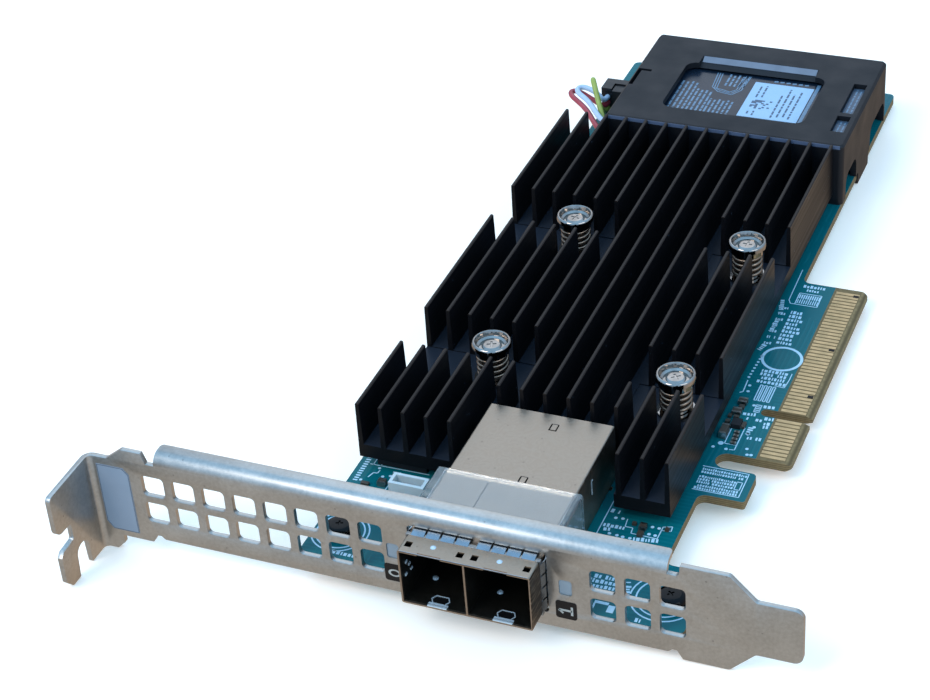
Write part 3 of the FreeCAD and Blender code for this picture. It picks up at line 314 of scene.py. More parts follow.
def finishes(colours):
    """Every finish of the card, by its name in the record or for the pieces made here.

    A row gives a material's name and what wandering takes: its light and dark shade, the sizes of the
    shades and of the relief, the relief's height, the roughness and the shader's other constants.
    """
    def level(amount):
        return {"Specular_IOR_Level": amount}

    metal = {"Metallic": 1.0}
    rows = {
        # hard gold over nickel on the pads: pale tan metal with a soft shine
        "gold": ("contact_gold", "#c3a77e", "#b39870", 1.5, 0.4, 0.003, (0.36, 0.48), metal),
        # stainless strip, cold rolled and stamped: cool and bright
        "spring_steel": ("collar_stainless_strip", "#9fa6ac", "#7d848b", 1.5, 0.5, 0.004, (0.2, 0.34), metal),
        # nickel plating over turned steel: a mirror with a trace of wear
        "bright": ("screw_nickel_plated", "#b4aea8", "#716b66", 1.2, 1.1, 0.035, (0.04, 0.12), metal),
        # drawn music wire, nickel plated: bright and slightly warm
        "wire": ("spring_drawn_wire", "#a18d7b", "#6f6155", 0.8, 0.4, 0.004, (0.28, 0.42), metal),
        # turned brass: yellow, with a soft shine
        "brass": ("nut_turned_brass", "#b89b5a", "#a08546", 1.2, 0.4, 0.004, (0.3, 0.45), metal),
        # tinned copper: pale and even
        "tin": ("pin_tinned_copper", "#a9a9a4", "#8d8d88", 0.6, 0.3, 0.004, (0.25, 0.4), metal),
        # stamped steel of the latch keepers, coloured pale blue-white as a painted highlight
        "latch": ("latch_rubbed_steel", "#d6e4ec", "#9fb0ba", 0.7, 0.3, 0.004, (0.25, 0.4), {"Metallic": 0.35}),
        # steel, black oxide: dark with an oily sheen
        "oxide": ("screw_black_oxide", "#020203", "#060607", 0.9, 0.8, 0.03, (0.06, 0.12), level(0.14)),
        # glass-filled polymer, moulded: black, slightly glossy inside the ports
        "moulding": ("receptacle_black_lcp", "#060607", "#0c0c0e", 1.5, 0.3, 0.01, (0.35, 0.5), level(0.25)),
        # laminate of the chip's carrier: green and even
        "substrate": ("chip_carrier_laminate", "#1f4a35", "#2a5a42", 1.2, 0.4, 0.004, (0.35, 0.5)),
        # silicone sheet with ceramic powder: soft and matt
        "pad": ("pad_filled_silicone", "#8f9496", "#a3a7a8", 1.5, 0.4, 0.02, (0.7, 0.85)),
        # epoxy moulding compound: matt charcoal, finely sparked
        "chip": ("chip_epoxy_moulding", "#131417", "#1b1c20", 1.0, 0.25, 0.01, (0.45, 0.6), level(0.3)),
        # pressed iron powder: dark grey and grainy
        "powder": ("inductor_iron_powder", "#3a3a3c", "#4a494a", 0.9, 0.3, 0.02, (0.6, 0.75)),
        # fired ceramic with a light brown body
        "ceramic": ("part_fired_ceramic", "#2c2620", "#4a4034", 0.5, 0.2, 0.01, (0.4, 0.55)),
        # nylon, moulded in cream: smooth, slightly waxy
        "nylon": ("header_cream_nylon", "#c3d0d2", "#b5c2c4", 2.0, 0.4, 0.006, (0.38, 0.5),
                  {"Subsurface_Weight": 0.06, "Subsurface_Scale": 0.0004}),
        # polycarbonate and ABS, moulded with a fine spark texture: dark charcoal and matt
        "cover": ("cover_sparked_abs", colours.housing, "#0c0e12", 6.0, 0.35, 0.012, (0.5, 0.62), level(0.3)),
        # polyester shrink film round the cell, printed slate blue under gloss
        "film": ("cell_polyester_film", colours.film, "#0c1722", 7.0, 2.0, 0.02, (0.24, 0.34), level(0.35)),
        # closed-cell foam: matt and pitted
        "foam": ("cradle_foam", "#1b1c20", "#131417", 1.2, 0.5, 0.08, (0.85, 0.95)),
        # coated paper label: bright and smooth
        "paper": ("label_coated_paper", "#9ab7d0", "#93b1cb", 3.0, 0.6, 0.004, (0.4, 0.5), level(0.3)),
        # grey print on the label
        "label_ink": ("label_grey_ink", "#3c5064", "#475b70", 0.8, 0.4, 0.002, (0.45, 0.55)),
        # pale print on the film
        "film_ink": ("film_pale_ink", "#64849c", "#4e6b82", 0.9, 0.4, 0.002, (0.35, 0.45)),
        # label in the cover's side slot: slate blue film
        "slot_label": ("slot_label_slate_film", "#3f4f60", "#384757", 2.0, 0.6, 0.004, (0.35, 0.45)),
        # nylon of the battery plug and header: black, slightly glossy
        "plug": ("plug_black_nylon", "#121316", "#1b1c20", 1.4, 0.3, 0.006, (0.35, 0.48), level(0.35)),
        # vinyl film label in blue-grey, smooth and faintly glossy
        "sticker": ("label_grey_vinyl", "#808b98", "#76818e", 4.0, 0.6, 0.004, (0.36, 0.46)),
        # dark line round the vinyl label
        "sticker_line": ("label_black_line", "#4c545e", "#565e68", 1.0, 0.4, 0.002, (0.4, 0.5)),
        # dark brown screen print under a matt varnish
        "plate": ("plate_brown_print", "#140f0d", "#1b1412", 1.0, 0.3, 0.002, (0.45, 0.6), level(0.2)),
        # light digits left bare in the print
        "digit": ("plate_light_digit", "#a3a19a", "#949189", 0.8, 0.3, 0.002, (0.45, 0.55)),
        # screen-printed epoxy ink on the board: pale and even
        "ink": ("board_epoxy_ink", colours.print_ink, "#a6c9da", 1.0, 0.3, 0.004, (0.45, 0.6)),
        # milky diffuser at the end of the clear guide: grey and even
        "diffuser": ("window_milky_polycarbonate", "#7f8a92", "#77828a", 1.5, 0.4, 0.003, (0.35, 0.45)),
        # grey strip on the ramp beyond the cell's window, a painted highlight
        "ramp": ("ramp_grey_film", "#747b87", "#575e69", 3.0, 0.8, 0.006, (0.3, 0.45)),
        # slate blue painted highlight on the cover's front top edge
        "cover_edge_highlight": ("band_slate_film", "#5a6880", "#46536a", 3.0, 0.8, 0.006, (0.35, 0.5)),
        # clear lamp body with a yellow core
        "lamp": ("lamp_clear_epoxy", "#d9dccb", "#e4e6d8", 0.6, 0.3, 0.004, (0.2, 0.3)),
        # soft PVC insulation: smooth with a low shine
        "red": ("lead_red_pvc", colours.red_lead, "#8d2c37", 1.6, 0.4, 0.006, (0.35, 0.45)),
        "white": ("lead_white_pvc", colours.white_lead, "#a3b6cb", 1.6, 0.4, 0.006, (0.35, 0.45)),
        "yellow": ("lead_yellow_pvc", colours.yellow_lead, "#84913f", 1.6, 0.4, 0.006, (0.35, 0.45)),
        # injection-moulded polycarbonate: clear with a faint milky cast and soft flow marks
        "clear": ("guide_clear_polycarbonate", "#f6f9fa", "#e9f0f3", 3.0, 1.2, 0.012, (0.04, 0.12),
                  {"Transmission_Weight": 0.95, "Specular_IOR_Level": 0.35, "IOR": 1.5}),
    }
    made = {"board": board_finish(colours), "bracket": bracket_finish(colours), "cage": cage_finish(colours),
            "anodised": anodised_finish(colours)}
    for key, (name, light, dark, patch, grain, depth, rough, *constants) in rows.items():
        first = linear(light) if isinstance(light, str) else tuple(light)
        made[key] = wandering(name, first, linear(dark), patch, grain, depth, rough, **dict(*constants))
    return made


FINISH = {}


def dress(**nodes):
    """Gives CAD nodes their finishes."""
    for node, finish in nodes.items():
        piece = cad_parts[node]
        piece.data.materials.clear()
        piece.data.materials.append(FINISH[finish])


def place(mesh, name, finish, replaced=(), slot=None, smooth_below=None):
    """Turns a bmesh drawn in millimetres into a piece of the card."""
    bmesh.ops.remove_doubles(mesh, verts=mesh.verts, dist=1e-5)
    bmesh.ops.recalc_face_normals(mesh, faces=mesh.faces)
    bmesh.ops.scale(mesh, vec=(MM, MM, MM), verts=mesh.verts)
    if smooth_below is not None:
        for face in mesh.faces:
            face.smooth = True
        for edge in mesh.edges:
            edge.smooth = edge.calc_face_angle(0.0) < smooth_below
    data = bpy.data.meshes.new(name)
    mesh.to_mesh(data)
    mesh.free()
    piece = bpy.data.objects.new(name, data)
    bpy.context.scene.collection.objects.link(piece)
    data.materials.append(FINISH[finish])
    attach(piece, "root")
    if replaced:
        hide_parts(*replaced)
    return piece


# Shapes in millimetres

TIPPED = Matrix.Rotation(math.pi / 2, 4, "X")


def moved(x, y, z):
    return Matrix.Translation((x, y, z))


def block(mesh, at, size):
    """A box of a given size, put in place by a matrix."""
    bmesh.ops.create_cube(mesh, size=1.0, matrix=at @ Matrix.Diagonal((*size, 1.0)))


def slab(mesh, x0, x1, y0, y1, z0, z1):
    """A box between two corners."""
    block(mesh, moved((x0 + x1) / 2, (y0 + y1) / 2, (z0 + z1) / 2), (x1 - x0, y1 - y0, z1 - z0))


def box_piece(name, finish, *corners):
    """A piece made of boxes only."""
    mesh = bmesh.new()
    for ends in corners:
        slab(mesh, *ends)
    place(mesh, name, finish)


def bead(mesh, x, y, z, radius, rise):
    """A flattened ball; rise is its height over its width."""
    bmesh.ops.create_uvsphere(mesh, u_segments=12, v_segments=6, radius=radius,
                              matrix=moved(x, y, z) @ Matrix.Diagonal((1.0, 1.0, rise, 1.0)))


def shift(mesh, to, turn=Matrix.Identity(4)):
    """Turns all of a mesh about the origin and then moves it."""
    bmesh.ops.transform(mesh, matrix=Matrix.Translation(to) @ turn, verts=mesh.verts)


def gather(whole, piece):
    """Adds one bmesh to another."""
    data = bpy.data.meshes.new("gathered")
    piece.to_mesh(data)
    piece.free()
    whole.from_mesh(data)
    bpy.data.meshes.remove(data)


class Print:
    """Flat shapes drawn between two heights; rows and dashes vary with the random draws of chance."""

    def __init__(self, low, high, chance=None):
        self.mesh = bmesh.new()
        self.low = low
        self.high = high
        self.chance = chance

    def slab(self, x0, x1, y0, y1):
        slab(self.mesh, x0, x1, y0, y1, self.low, self.high)

    def stroke(self, start, end, width):
        """A straight stroke between two points."""
        run = Vector(end) - Vector(start)
        middle = (Vector(end) + Vector(start)) / 2
        at = moved(middle.x, middle.y, (self.low + self.high) / 2)
        turn = Matrix.Rotation(math.atan2(run.y, run.x), 4, "Z")
        block(self.mesh, at @ turn, (run.length, width, self.high - self.low))

    def path(self, width, *points):
        """A line through points."""
        for start, end in zip(points, points[1:]):
            self.stroke(start, end, width)

    def dots(self, diameter, *places):
        """Round spots."""
        for x, y in places:
            bmesh.ops.create_cone(self.mesh, cap_ends=True, segments=10, radius1=diameter / 2, radius2=diameter / 2,
                                  depth=self.high - self.low,
                                  matrix=moved(x, y, (self.low + self.high) / 2))

    def arc(self, x, y, radius, width, steps, start=0, sweep=360):
        """A ring or part of one, from an angle in degrees through a sweep."""
        section = moved(x + radius, y, (self.low + self.high) / 2)
        section = section @ Matrix.Diagonal((width, 1.0, self.high - self.low, 1.0))
        section = section @ TIPPED @ Matrix.Rotation(math.pi / 4, 4, "Z")
        corners = bmesh.ops.create_circle(self.mesh, segments=4, radius=math.sqrt(0.5), matrix=section)["verts"]
        bmesh.ops.rotate(self.mesh, verts=corners, cent=(x, y, 0), matrix=Matrix.Rotation(math.radians(start), 3, "Z"))
        edges = list({edge for corner in corners for edge in corner.link_edges})
        full = sweep == 360
        spun = bmesh.ops.spin(self.mesh, geom=corners + edges, cent=(x, y, 0), axis=(0, 0, 1),
                              angle=math.radians(sweep), steps=steps, use_merge=full)
        if not full:
            ends = edges + [item for item in spun["geom_last"] if isinstance(item, bmesh.types.BMEdge)]
            bmesh.ops.holes_fill(self.mesh, edges=ends, sides=4)

    def rows(self, height, gap, *ends):
        """Rows of small blocks of uneven width that stand for component print, with no letters.

        Each row runs from x, y to x, y, and gap is twice the share of blocks that are left out.
        """
        for x0, y0, x1, y1 in ends:
            start = Vector((x0, y0))
            run = Vector((x1, y1)) - start
            along = run.normalized()
            up = Vector((-along.y, along.x))
            at = 0.0
            while at < run.length - 0.1:
                wide = height * self.chance.uniform(0.22, 0.6)
                if self.chance.random() > gap * 0.5:
                    tall = height * self.chance.uniform(0.7, 1.0)
                    foot = start + along * (at + wide / 2)
                    self.stroke(foot, foot + up * tall, wide)
                at += wide + height * 0.24

    def dashes(self, x, near, far, width, longest):
        """A column of dashes of uneven length."""
        at = near
        while at < far:
            length = self.chance.uniform(0.35, 1.0) * longest
            self.stroke((x, at), (x, min(at + length, far)), width)
            at += length + 0.32


class CARD_OT_board(bpy.types.Operator):
    """Finish the board, its gold contacts and the printed marks on it"""
    bl_idname = "card.board"
    bl_label = "Board and print"

    def execute(self, context):
        dress(circuit_board="board", edge_contacts_top="gold", edge_contacts_bottom="gold")
        line = context.scene.card_sizes.line / MM
        mark = context.scene.card_sizes.mark / MM
        ink = Print(BOARD_TOP - INK, BOARD_TOP + INK, random.Random(7))
        # block of rows on the small tab, in a frame, with a bare rectangle at its end
        ink.path(line, (92.2, 40.7), (100.05, 40.7), (100.05, 34.45), (92.2, 34.45))
        ink.rows(0.62, 0.06, *((92.4, y, right, y) for y, right in (
            (39.7, 99.7), (38.9, 99.7), (37.7, 98.5), (36.95, 98.5), (36.2, 98.5), (35.35, 99.7), (34.65, 99.7))))
        ink.path(line, (98.75, 36.25), (99.65, 36.25), (99.65, 38.25), (98.75, 38.25), (98.75, 36.25))
        # frame with a hook round the four small parts
        ink.path(line, (93.8, 47.5), (93.8, 52.5), (95.9, 52.5), (95.9, 47.5), (93.8, 47.5))
        ink.path(line, (95.0, 46.1), (95.9, 46.2), (95.9, 47.5))
        ink.dots(0.6, (94.5, 46.1), (96.8, 50.95), (97.8, 47.1), (98.25, 45.6), (98.9, 45.7), (97.3, 53.1),
                 (93.3, 64.3), (93.5, 62.6), (95.6, 59.0), (92.25, 46.1))
        ink.dots(1.0, (93.2, 47.4))
        ink.rows(mark, 0.1, (94.5, 55.9, 96.8, 56.1), (95.4, 54.8, 98.2, 54.8), (97.3, 58.7, 99.4, 58.9),
                 (98.35, 55.5, 99.8, 55.6), (98.6, 54.1, 99.7, 54.2), (98.7, 53.2, 99.7, 53.3),
                 (96.4, 52.9, 96.4, 50.6), (97.0, 49.6, 99.2, 49.7))
        # ladder and fork of parallel strokes
        for k in range(5):
            ink.stroke((96.0, 57.3 + 0.5 * k), (96.9, 57.3 + 0.5 * k), line * 1.4)
        for x in (96.0, 96.9):
            ink.stroke((x, 57.2), (x, 59.4), line)
        for k in range(4):
            x = 95.1 + 0.74 * k
            ink.path(line * 1.2, (x, 60.5), (x, 65.0), (x + 0.42, 65.0), (x + 0.42, 60.5), (x, 60.5))
        ink.path(line * 1.2, (92.56, 65.7), (92.7, 62.25), (92.2, 61.9))
        # framed block below the ring
        ink.path(line, (99.36, 69.6), (99.36, 67.8), (99.15, 65.3), (97.4, 65.4))
        ink.rows(mark, 0.1, *((94.1, y, 98.9, y) for y in (65.6, 66.7, 67.8, 68.8)))
        # ring mark, bare inside
        ink.arc(96.5, 73.4, 3.43, 0.52, 40)
        # column of rows above the ring
        for k in range(9):
            ink.rows(mark, 0.06, (94.2, 77.7 + 1.2 * k, 96.9 - 0.25 * (k % 3), 77.7 + 1.2 * k))
        # closed block with fine bars
        ink.path(line, (92.6, 101.7), (92.8, 91.5), (93.3, 90.5), (98.2, 90.5), (98.2, 94.2), (94.1, 94.2),
                 (94.1, 90.5))
        for k in range(10):
            x = 94.4 + 0.4 * k
            ink.stroke((x, 90.9), (x, 92.1 + 0.15 * (k % 3)), line)
            ink.stroke((x, 92.5), (x, 93.8), line * 1.4)
        ink.rows(mark, 0.1, (94.2, 96.1, 98.5, 96.2))
        ink.rows(mark * 0.8, 0.1, (94.6, 95.0, 97.1, 95.0))
        ink.rows(mark, 0.1, (92.9, 87.1, 92.1, 91.0), (92.7, 81.0, 92.9, 84.9), (92.2, 74.8, 93.0, 76.9))
        # dots and short marks along the foot of the sink
        ink.dots(0.5, *((92.5 + 0.06 * k, 66.6 + 0.95 * k) for k in range(8)))
        ink.rows(mark * 0.8, 0.1, *((92.15, 77.0 + 1.9 * k, 93.6, 77.0 + 1.9 * k + 0.1) for k in range(7)))
        # beside the right front corner of the sink
        ink.path(line, (81.15, 28.0), (81.15, 3.8))
        ink.path(line, (84.75, 24.0), (84.95, 22.15), (86.25, 22.15), (86.35, 20.85), (90.75, 20.75), (90.78, 23.8),
                 (92.2, 24.3), (92.3, 23.15), (90.9, 22.95))
        ink.dots(0.6, (82.84, 23.76), (84.0, 23.89), (89.16, 23.3), (90.28, 23.3), (89.17, 21.46), (90.21, 21.44),
                 (83.1, 19.8), (84.4, 19.7), (85.4, 19.6), (86.6, 19.6))
        ink.rows(mark, 0.2, (81.5, 24.9, 83.1, 24.8), (81.5, 21.2, 84.9, 21.3), (81.9, 20.2, 83.0, 20.4),
                 (87.2, 19.2, 91.4, 19.9))
        # beside the left front corner of the sink
        ink.path(line, (39.0, 24.85), (49.7, 25.0))
        for x in (39.6, 41.0):
            ink.path(line, (x, 24.8), (x, 27.5))
        ink.path(line * 1.3, (41.3, 23.7), (41.2, 22.9), (40.5, 22.8), (40.1, 21.5))
        for k in range(11):
            y = 20.2 + 0.62 * k
            ink.stroke((37.9, y), (38.7, y + 0.05), 0.3)
        ink.dots(0.55, (41.0, 24.2), (42.4, 22.3), (43.6, 22.8), (39.2, 20.5))
        ink.path(line * 1.5, (43.6, 23.95), (45.0, 24.0))
        ink.path(line, (46.6, 18.9), (53.3, 18.9))
        ink.path(line, (44.3, 21.0), (44.1, 17.0))
        ink.rows(mark * 0.8, 0.2, (46.2, 22.2, 52.0, 22.3))
        # rings round the two bracket screws, cut off at the board's edges
        for x, y, radius, start, sweep in ((41.6, 7.2, 4.0, -180, 360), (41.6, 7.2, 4.75, -155, 310),
                                           (96.11, 7.73, 4.28, -180, 360), (96.11, 7.73, 5.26, 20, 320)):
            ink.arc(x, y, radius, 0.26, 36, start, sweep)
        ink.rows(mark, 0.2, (83.2, 9.1, 88.0, 9.2), (83.7, 8.0, 88.4, 8.1), (84.2, 6.9, 88.8, 7.0),
                 (84.8, 5.8, 88.6, 5.9), (42.4, 1.9, 46.0, 1.95), (46.6, 12.4, 51.6, 12.5),
                 (46.4, 10.4, 51.0, 10.5), (47.2, 4.5, 50.8, 4.6), (89.4, 9.6, 90.2, 6.6), (93.4, 1.35, 95.8, 1.4))
        ink.dots(0.9, (94.3, 8.9))
        ink.dots(0.7, (94.6, 6.0))
        # white patches behind the bracket's right vents
        ink.slab(86.2, 86.5, 1.6, 4.2)
        ink.slab(86.5, 88.5, 3.6, 4.2)
        ink.slab(88.6, 89.7, 2.1, 3.7)
        place(ink.mesh, "board_print", "ink")
        # dark marks where three contact pads are cut short
        gaps = Print(BOARD_TOP, BOARD_TOP + 0.055 + INK)
        for y in (95.7, 78.3, 64.0):
            gaps.slab(103.6, 104.6, y - 0.35, y + 0.35)
        place(gaps.mesh, "contact_gap_marks", "plate")
        return {"FINISHED"}


class CARD_OT_small_parts(bpy.types.Operator):
    """Finish the chips and small parts on the board"""
    bl_idname = "card.small_parts"
    bl_label = "Small parts"

    def execute(self, context):
        dress(chip_capacitors="ceramic", memory_chips="chip", memory_pads="pad", power_inductors="powder",
              support_chips="chip", solder_side_parts="ceramic", controller_substrate="substrate",
              controller_lid="bright", thermal_pad="pad", small_header="nylon", small_header_pins="tin")
        mesh = bmesh.new()
        # pale ends of the parts beside the connector: corner, size and height of each part
        for x, y, w, d, h in ((92.45, 48.5, 1.2, 2.7, 1.3), (92.7, 55.35, 1.5, 1.4, 0.8), (92.9, 58.4, 1.5, 1.3, 0.8),
                              (87.3, 21.75, 1.1, 1.35, 0.8), (42.5, 19.75, 1.4, 1.2, 0.9)):
            for near, far in ((y - INK, y + 0.35), (y + d - 0.35, y + d + INK)):
                slab(mesh, x - INK, x + w + INK, near, far, BOARD_TOP, BOARD_TOP + h + INK)
        # solder beside the small black chip
        for y in (51.9, 52.5, 53.1):
            for x in (93.35, 95.2):
                slab(mesh, x, x + 0.25, y, y + 0.25, BOARD_TOP, BOARD_TOP + 0.4)
        # ends of the row of four
        for x, y in ((94.6, 50.4), (94.7, 49.4), (94.75, 48.45), (94.8, 47.5)):
            for left, right in ((x - INK, x + 0.22), (x + 0.68, x + 0.9 + INK)):
                slab(mesh, left, right, y - INK, y + 0.5, BOARD_TOP, BOARD_TOP + 0.4 + INK)
        place(mesh, "part_terminals", "tin")
        box_piece("small_chip_body", "chip",
                  (93.6 - INK, 95.2 + INK, 51.75 - INK, 53.65 + INK, BOARD_TOP, BOARD_TOP + 0.9 + INK))
        return {"FINISHED"}


class CARD_OT_bracket(bpy.types.Operator):
    """Round the bracket's sheared edges and finish it with its label, plates and digits"""
    bl_idname = "card.bracket"
    bl_label = "Bracket"

    def execute(self, context):
        edge = context.scene.card_sizes.edge / MM
        dress(bracket_label="sticker", port_number_plates="plate")
        mesh = bmesh.new()
        mesh.from_mesh(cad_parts["bracket"].data)
        bmesh.ops.scale(mesh, vec=(1 / MM, 1 / MM, 1 / MM), verts=mesh.verts)
        bmesh.ops.remove_doubles(mesh, verts=mesh.verts, dist=1e-4)
        bmesh.ops.dissolve_limit(mesh, angle_limit=math.radians(1.0), verts=mesh.verts, edges=mesh.edges)
        sharp = [item for item in mesh.edges if item.is_manifold and item.calc_face_angle(0.0) > math.radians(50)]
        bmesh.ops.bevel(mesh, geom=sharp, offset=edge, offset_type="OFFSET", segments=2, profile=0.5,
                        affect="EDGES", clamp_overlap=True, material=-1)
        place(mesh, "bracket_sheet", "bracket", ["bracket"], "bracket_steel", math.radians(40))
        # milky ends of the light guide in the two windows
        box_piece("window_diffusers", "diffuser",
                  *((x - 1.02, x + 1.02, 0.2, 0.26, 7.85, 10.75) for x in LIGHT_X))
        # thin dark line just inside the label's outline
        line = Print(-INK / 2, INK / 2)
        line.path(0.13, (3.4, 1.3), (7.96, 1.3), (7.96, 13.36), (7.0, 14.5), (2.3, 14.5), (2.3, 2.66), (3.4, 1.3))
        shift(line.mesh, (0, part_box("bracket_label")[0][1] / MM - INK / 2, 0), TIPPED)
        place(line.mesh, "bracket_label_line", "sticker_line")
        # port 1: a plain digit lying on its side, foot towards the tongue
        mesh = bmesh.new()
        front = PLATE_FRONT - INK
        x, z = LIGHT_X[1], DIGIT_LEVEL
        slab(mesh, x - 1.15, x + 0.95, front, PLATE_FRONT, z - 0.18, z + 0.2)
        slab(mesh, x + 0.75, x + 1.12, front, PLATE_FRONT, z - 0.85, z + 0.85)
        stem = moved(x - 0.85, PLATE_FRONT - INK / 2, z - 0.32)
        block(mesh, stem @ Matrix.Rotation(math.radians(40), 4, "Y"), (0.95, INK, 0.34))
        place(mesh, "port_digit_1", "digit")
        # port 0: an oval ring turned with it
        ring = Print(-INK / 2, INK / 2)
        ring.arc(0.0, 0.0, 0.78, 0.36, 24)
        bmesh.ops.scale(ring.mesh, vec=(1.15, 0.76, 1.0), verts=ring.mesh.verts)
        shift(ring.mesh, (LIGHT_X[0], PLATE_FRONT - INK / 2, DIGIT_LEVEL), TIPPED)
        place(ring.mesh, "port_digit_0", "digit")
        return {"FINISHED"}


def screw_head(mesh, rings, arm, reach, depth):
    """A turned screw from its dished crown down: a cross recess, then each ring (radius, level)."""
    radius, crown = rings[0]
    bmesh.ops.create_circle(mesh, cap_ends=True, segments=32, radius=radius,
                            matrix=moved(0, 0, crown))
    # cut along the sides and ends of the cross's arms, then sink the faces between them
    for sign in (-1, 1):
        for axis in (0, 1):
            for offset in (arm, reach):
                at = Vector((0, 0, crown))
                normal = Vector((0, 0, 0))
                at[axis] = sign * offset
                normal[axis] = 1
                bmesh.ops.bisect_plane(mesh, geom=mesh.verts[:] + mesh.edges[:] + mesh.faces[:], plane_co=at,
                                       plane_no=normal)
    plus = []
    for face in mesh.faces:
        middle = face.calc_center_median()
        near, far = sorted((abs(middle.x), abs(middle.y)))
        if near < arm and far < reach:
            plus.append(face)
    bmesh.ops.inset_region(mesh, faces=plus, thickness=arm * 0.25, depth=-depth, use_even_offset=True)
    rim = [edge for edge in mesh.edges if edge.is_boundary]
    for radius, level in rings[1:]:
        grown = bmesh.ops.extrude_edge_only(mesh, edges=rim)["geom"]
        for vert in grown:
            if isinstance(vert, bmesh.types.BMVert):
                flat = Vector((vert.co.x, vert.co.y, 0)).normalized() * radius
                vert.co = (flat.x, flat.y, level)
        rim = [item for item in grown if isinstance(item, bmesh.types.BMEdge) and item.is_boundary]
    bmesh.ops.holes_fill(mesh, edges=rim, sides=0)


def turned_screws(places, rings, cross, first, step):
    """Equal screws; first is the turn of the first one's cross, and step the turn from each to the next."""
    whole = bmesh.new()
    for k, (x, y) in enumerate(places):
        mesh = bmesh.new()
        screw_head(mesh, rings, *cross)
        shift(mesh, (x, y, 0), Matrix.Rotation(first + step * k, 4, "Z"))
        gather(whole, mesh)
    return whole


class CARD_OT_screws(bpy.types.Operator):
    """Make the four sprung screws, their springs and the two black bracket screws"""
    bl_idname = "card.screws"
    bl_label = "Screws and springs"

    def execute(self, context):
        dress(screw_washers="bright", board_nuts="brass")
        # from the crown's cup, over the rim, down the skirt and shank
        rings = ((1.25, 16.2), (1.5, 16.15), (1.75, 15.9), (2.2, 15.85), (2.6, 16.1), (2.8, 16.75), (2.9, 16.98),
                 (3.0, 17.04), (3.15, 17.02), (3.35, 16.85), (3.45, 16.5), (3.45, 16.0), (3.3, 15.85), (3.0, 15.75),
                 (3.0, 14.8), (2.1, 14.75), (2.1, 4.3), (1.25, 4.2), (1.25, 1.2))
        screws = turned_screws(SCREW_PLACES, rings, (0.2, 0.85, 0.12), 0.4, 0.9)
        place(screws, "sprung_screws", "bright", ["heat_sink_screws"], "bright_screw", math.radians(35))
        # springs of drawn wire, between the sink's washers and the heads
        wire = context.scene.card_sizes.spring_wire / MM / 2
        coil = 2.84 - wire
        low, high = 9.7 + wire, 14.7 - wire
        turns = 4
        steps = 26 * turns
        whole = bmesh.new()
        for x, y in SCREW_PLACES:
            mesh = bmesh.new()
            bmesh.ops.create_circle(mesh, cap_ends=True, segments=10, radius=wire,
                                    matrix=moved(x + coil, y, low) @ TIPPED)
            bmesh.ops.spin(mesh, geom=mesh.verts[:] + mesh.edges[:] + mesh.faces[:], cent=(x, y, 0), axis=(0, 0, 1),
                           angle=2 * math.pi * turns, steps=steps, dvec=(0, 0, (high - low) / steps))
            gather(whole, mesh)
        place(whole, "screw_coils", "wire", ["screw_springs"], "spring_steel", math.radians(60))
        rings = ((1.55, 6.05), (2.0, 5.95), (2.4, 5.6), (2.58, 5.0), (2.58, 4.2), (1.45, 4.2), (1.45, 0.6))
        screws = turned_screws(FOOT_SCREW_PLACES, rings, (0.16, 0.62, 0.18), 0.3, 0.5)
        place(screws, "foot_screws", "oxide", ["bracket_screws"], "black_oxide", math.radians(35))
        return {"FINISHED"}


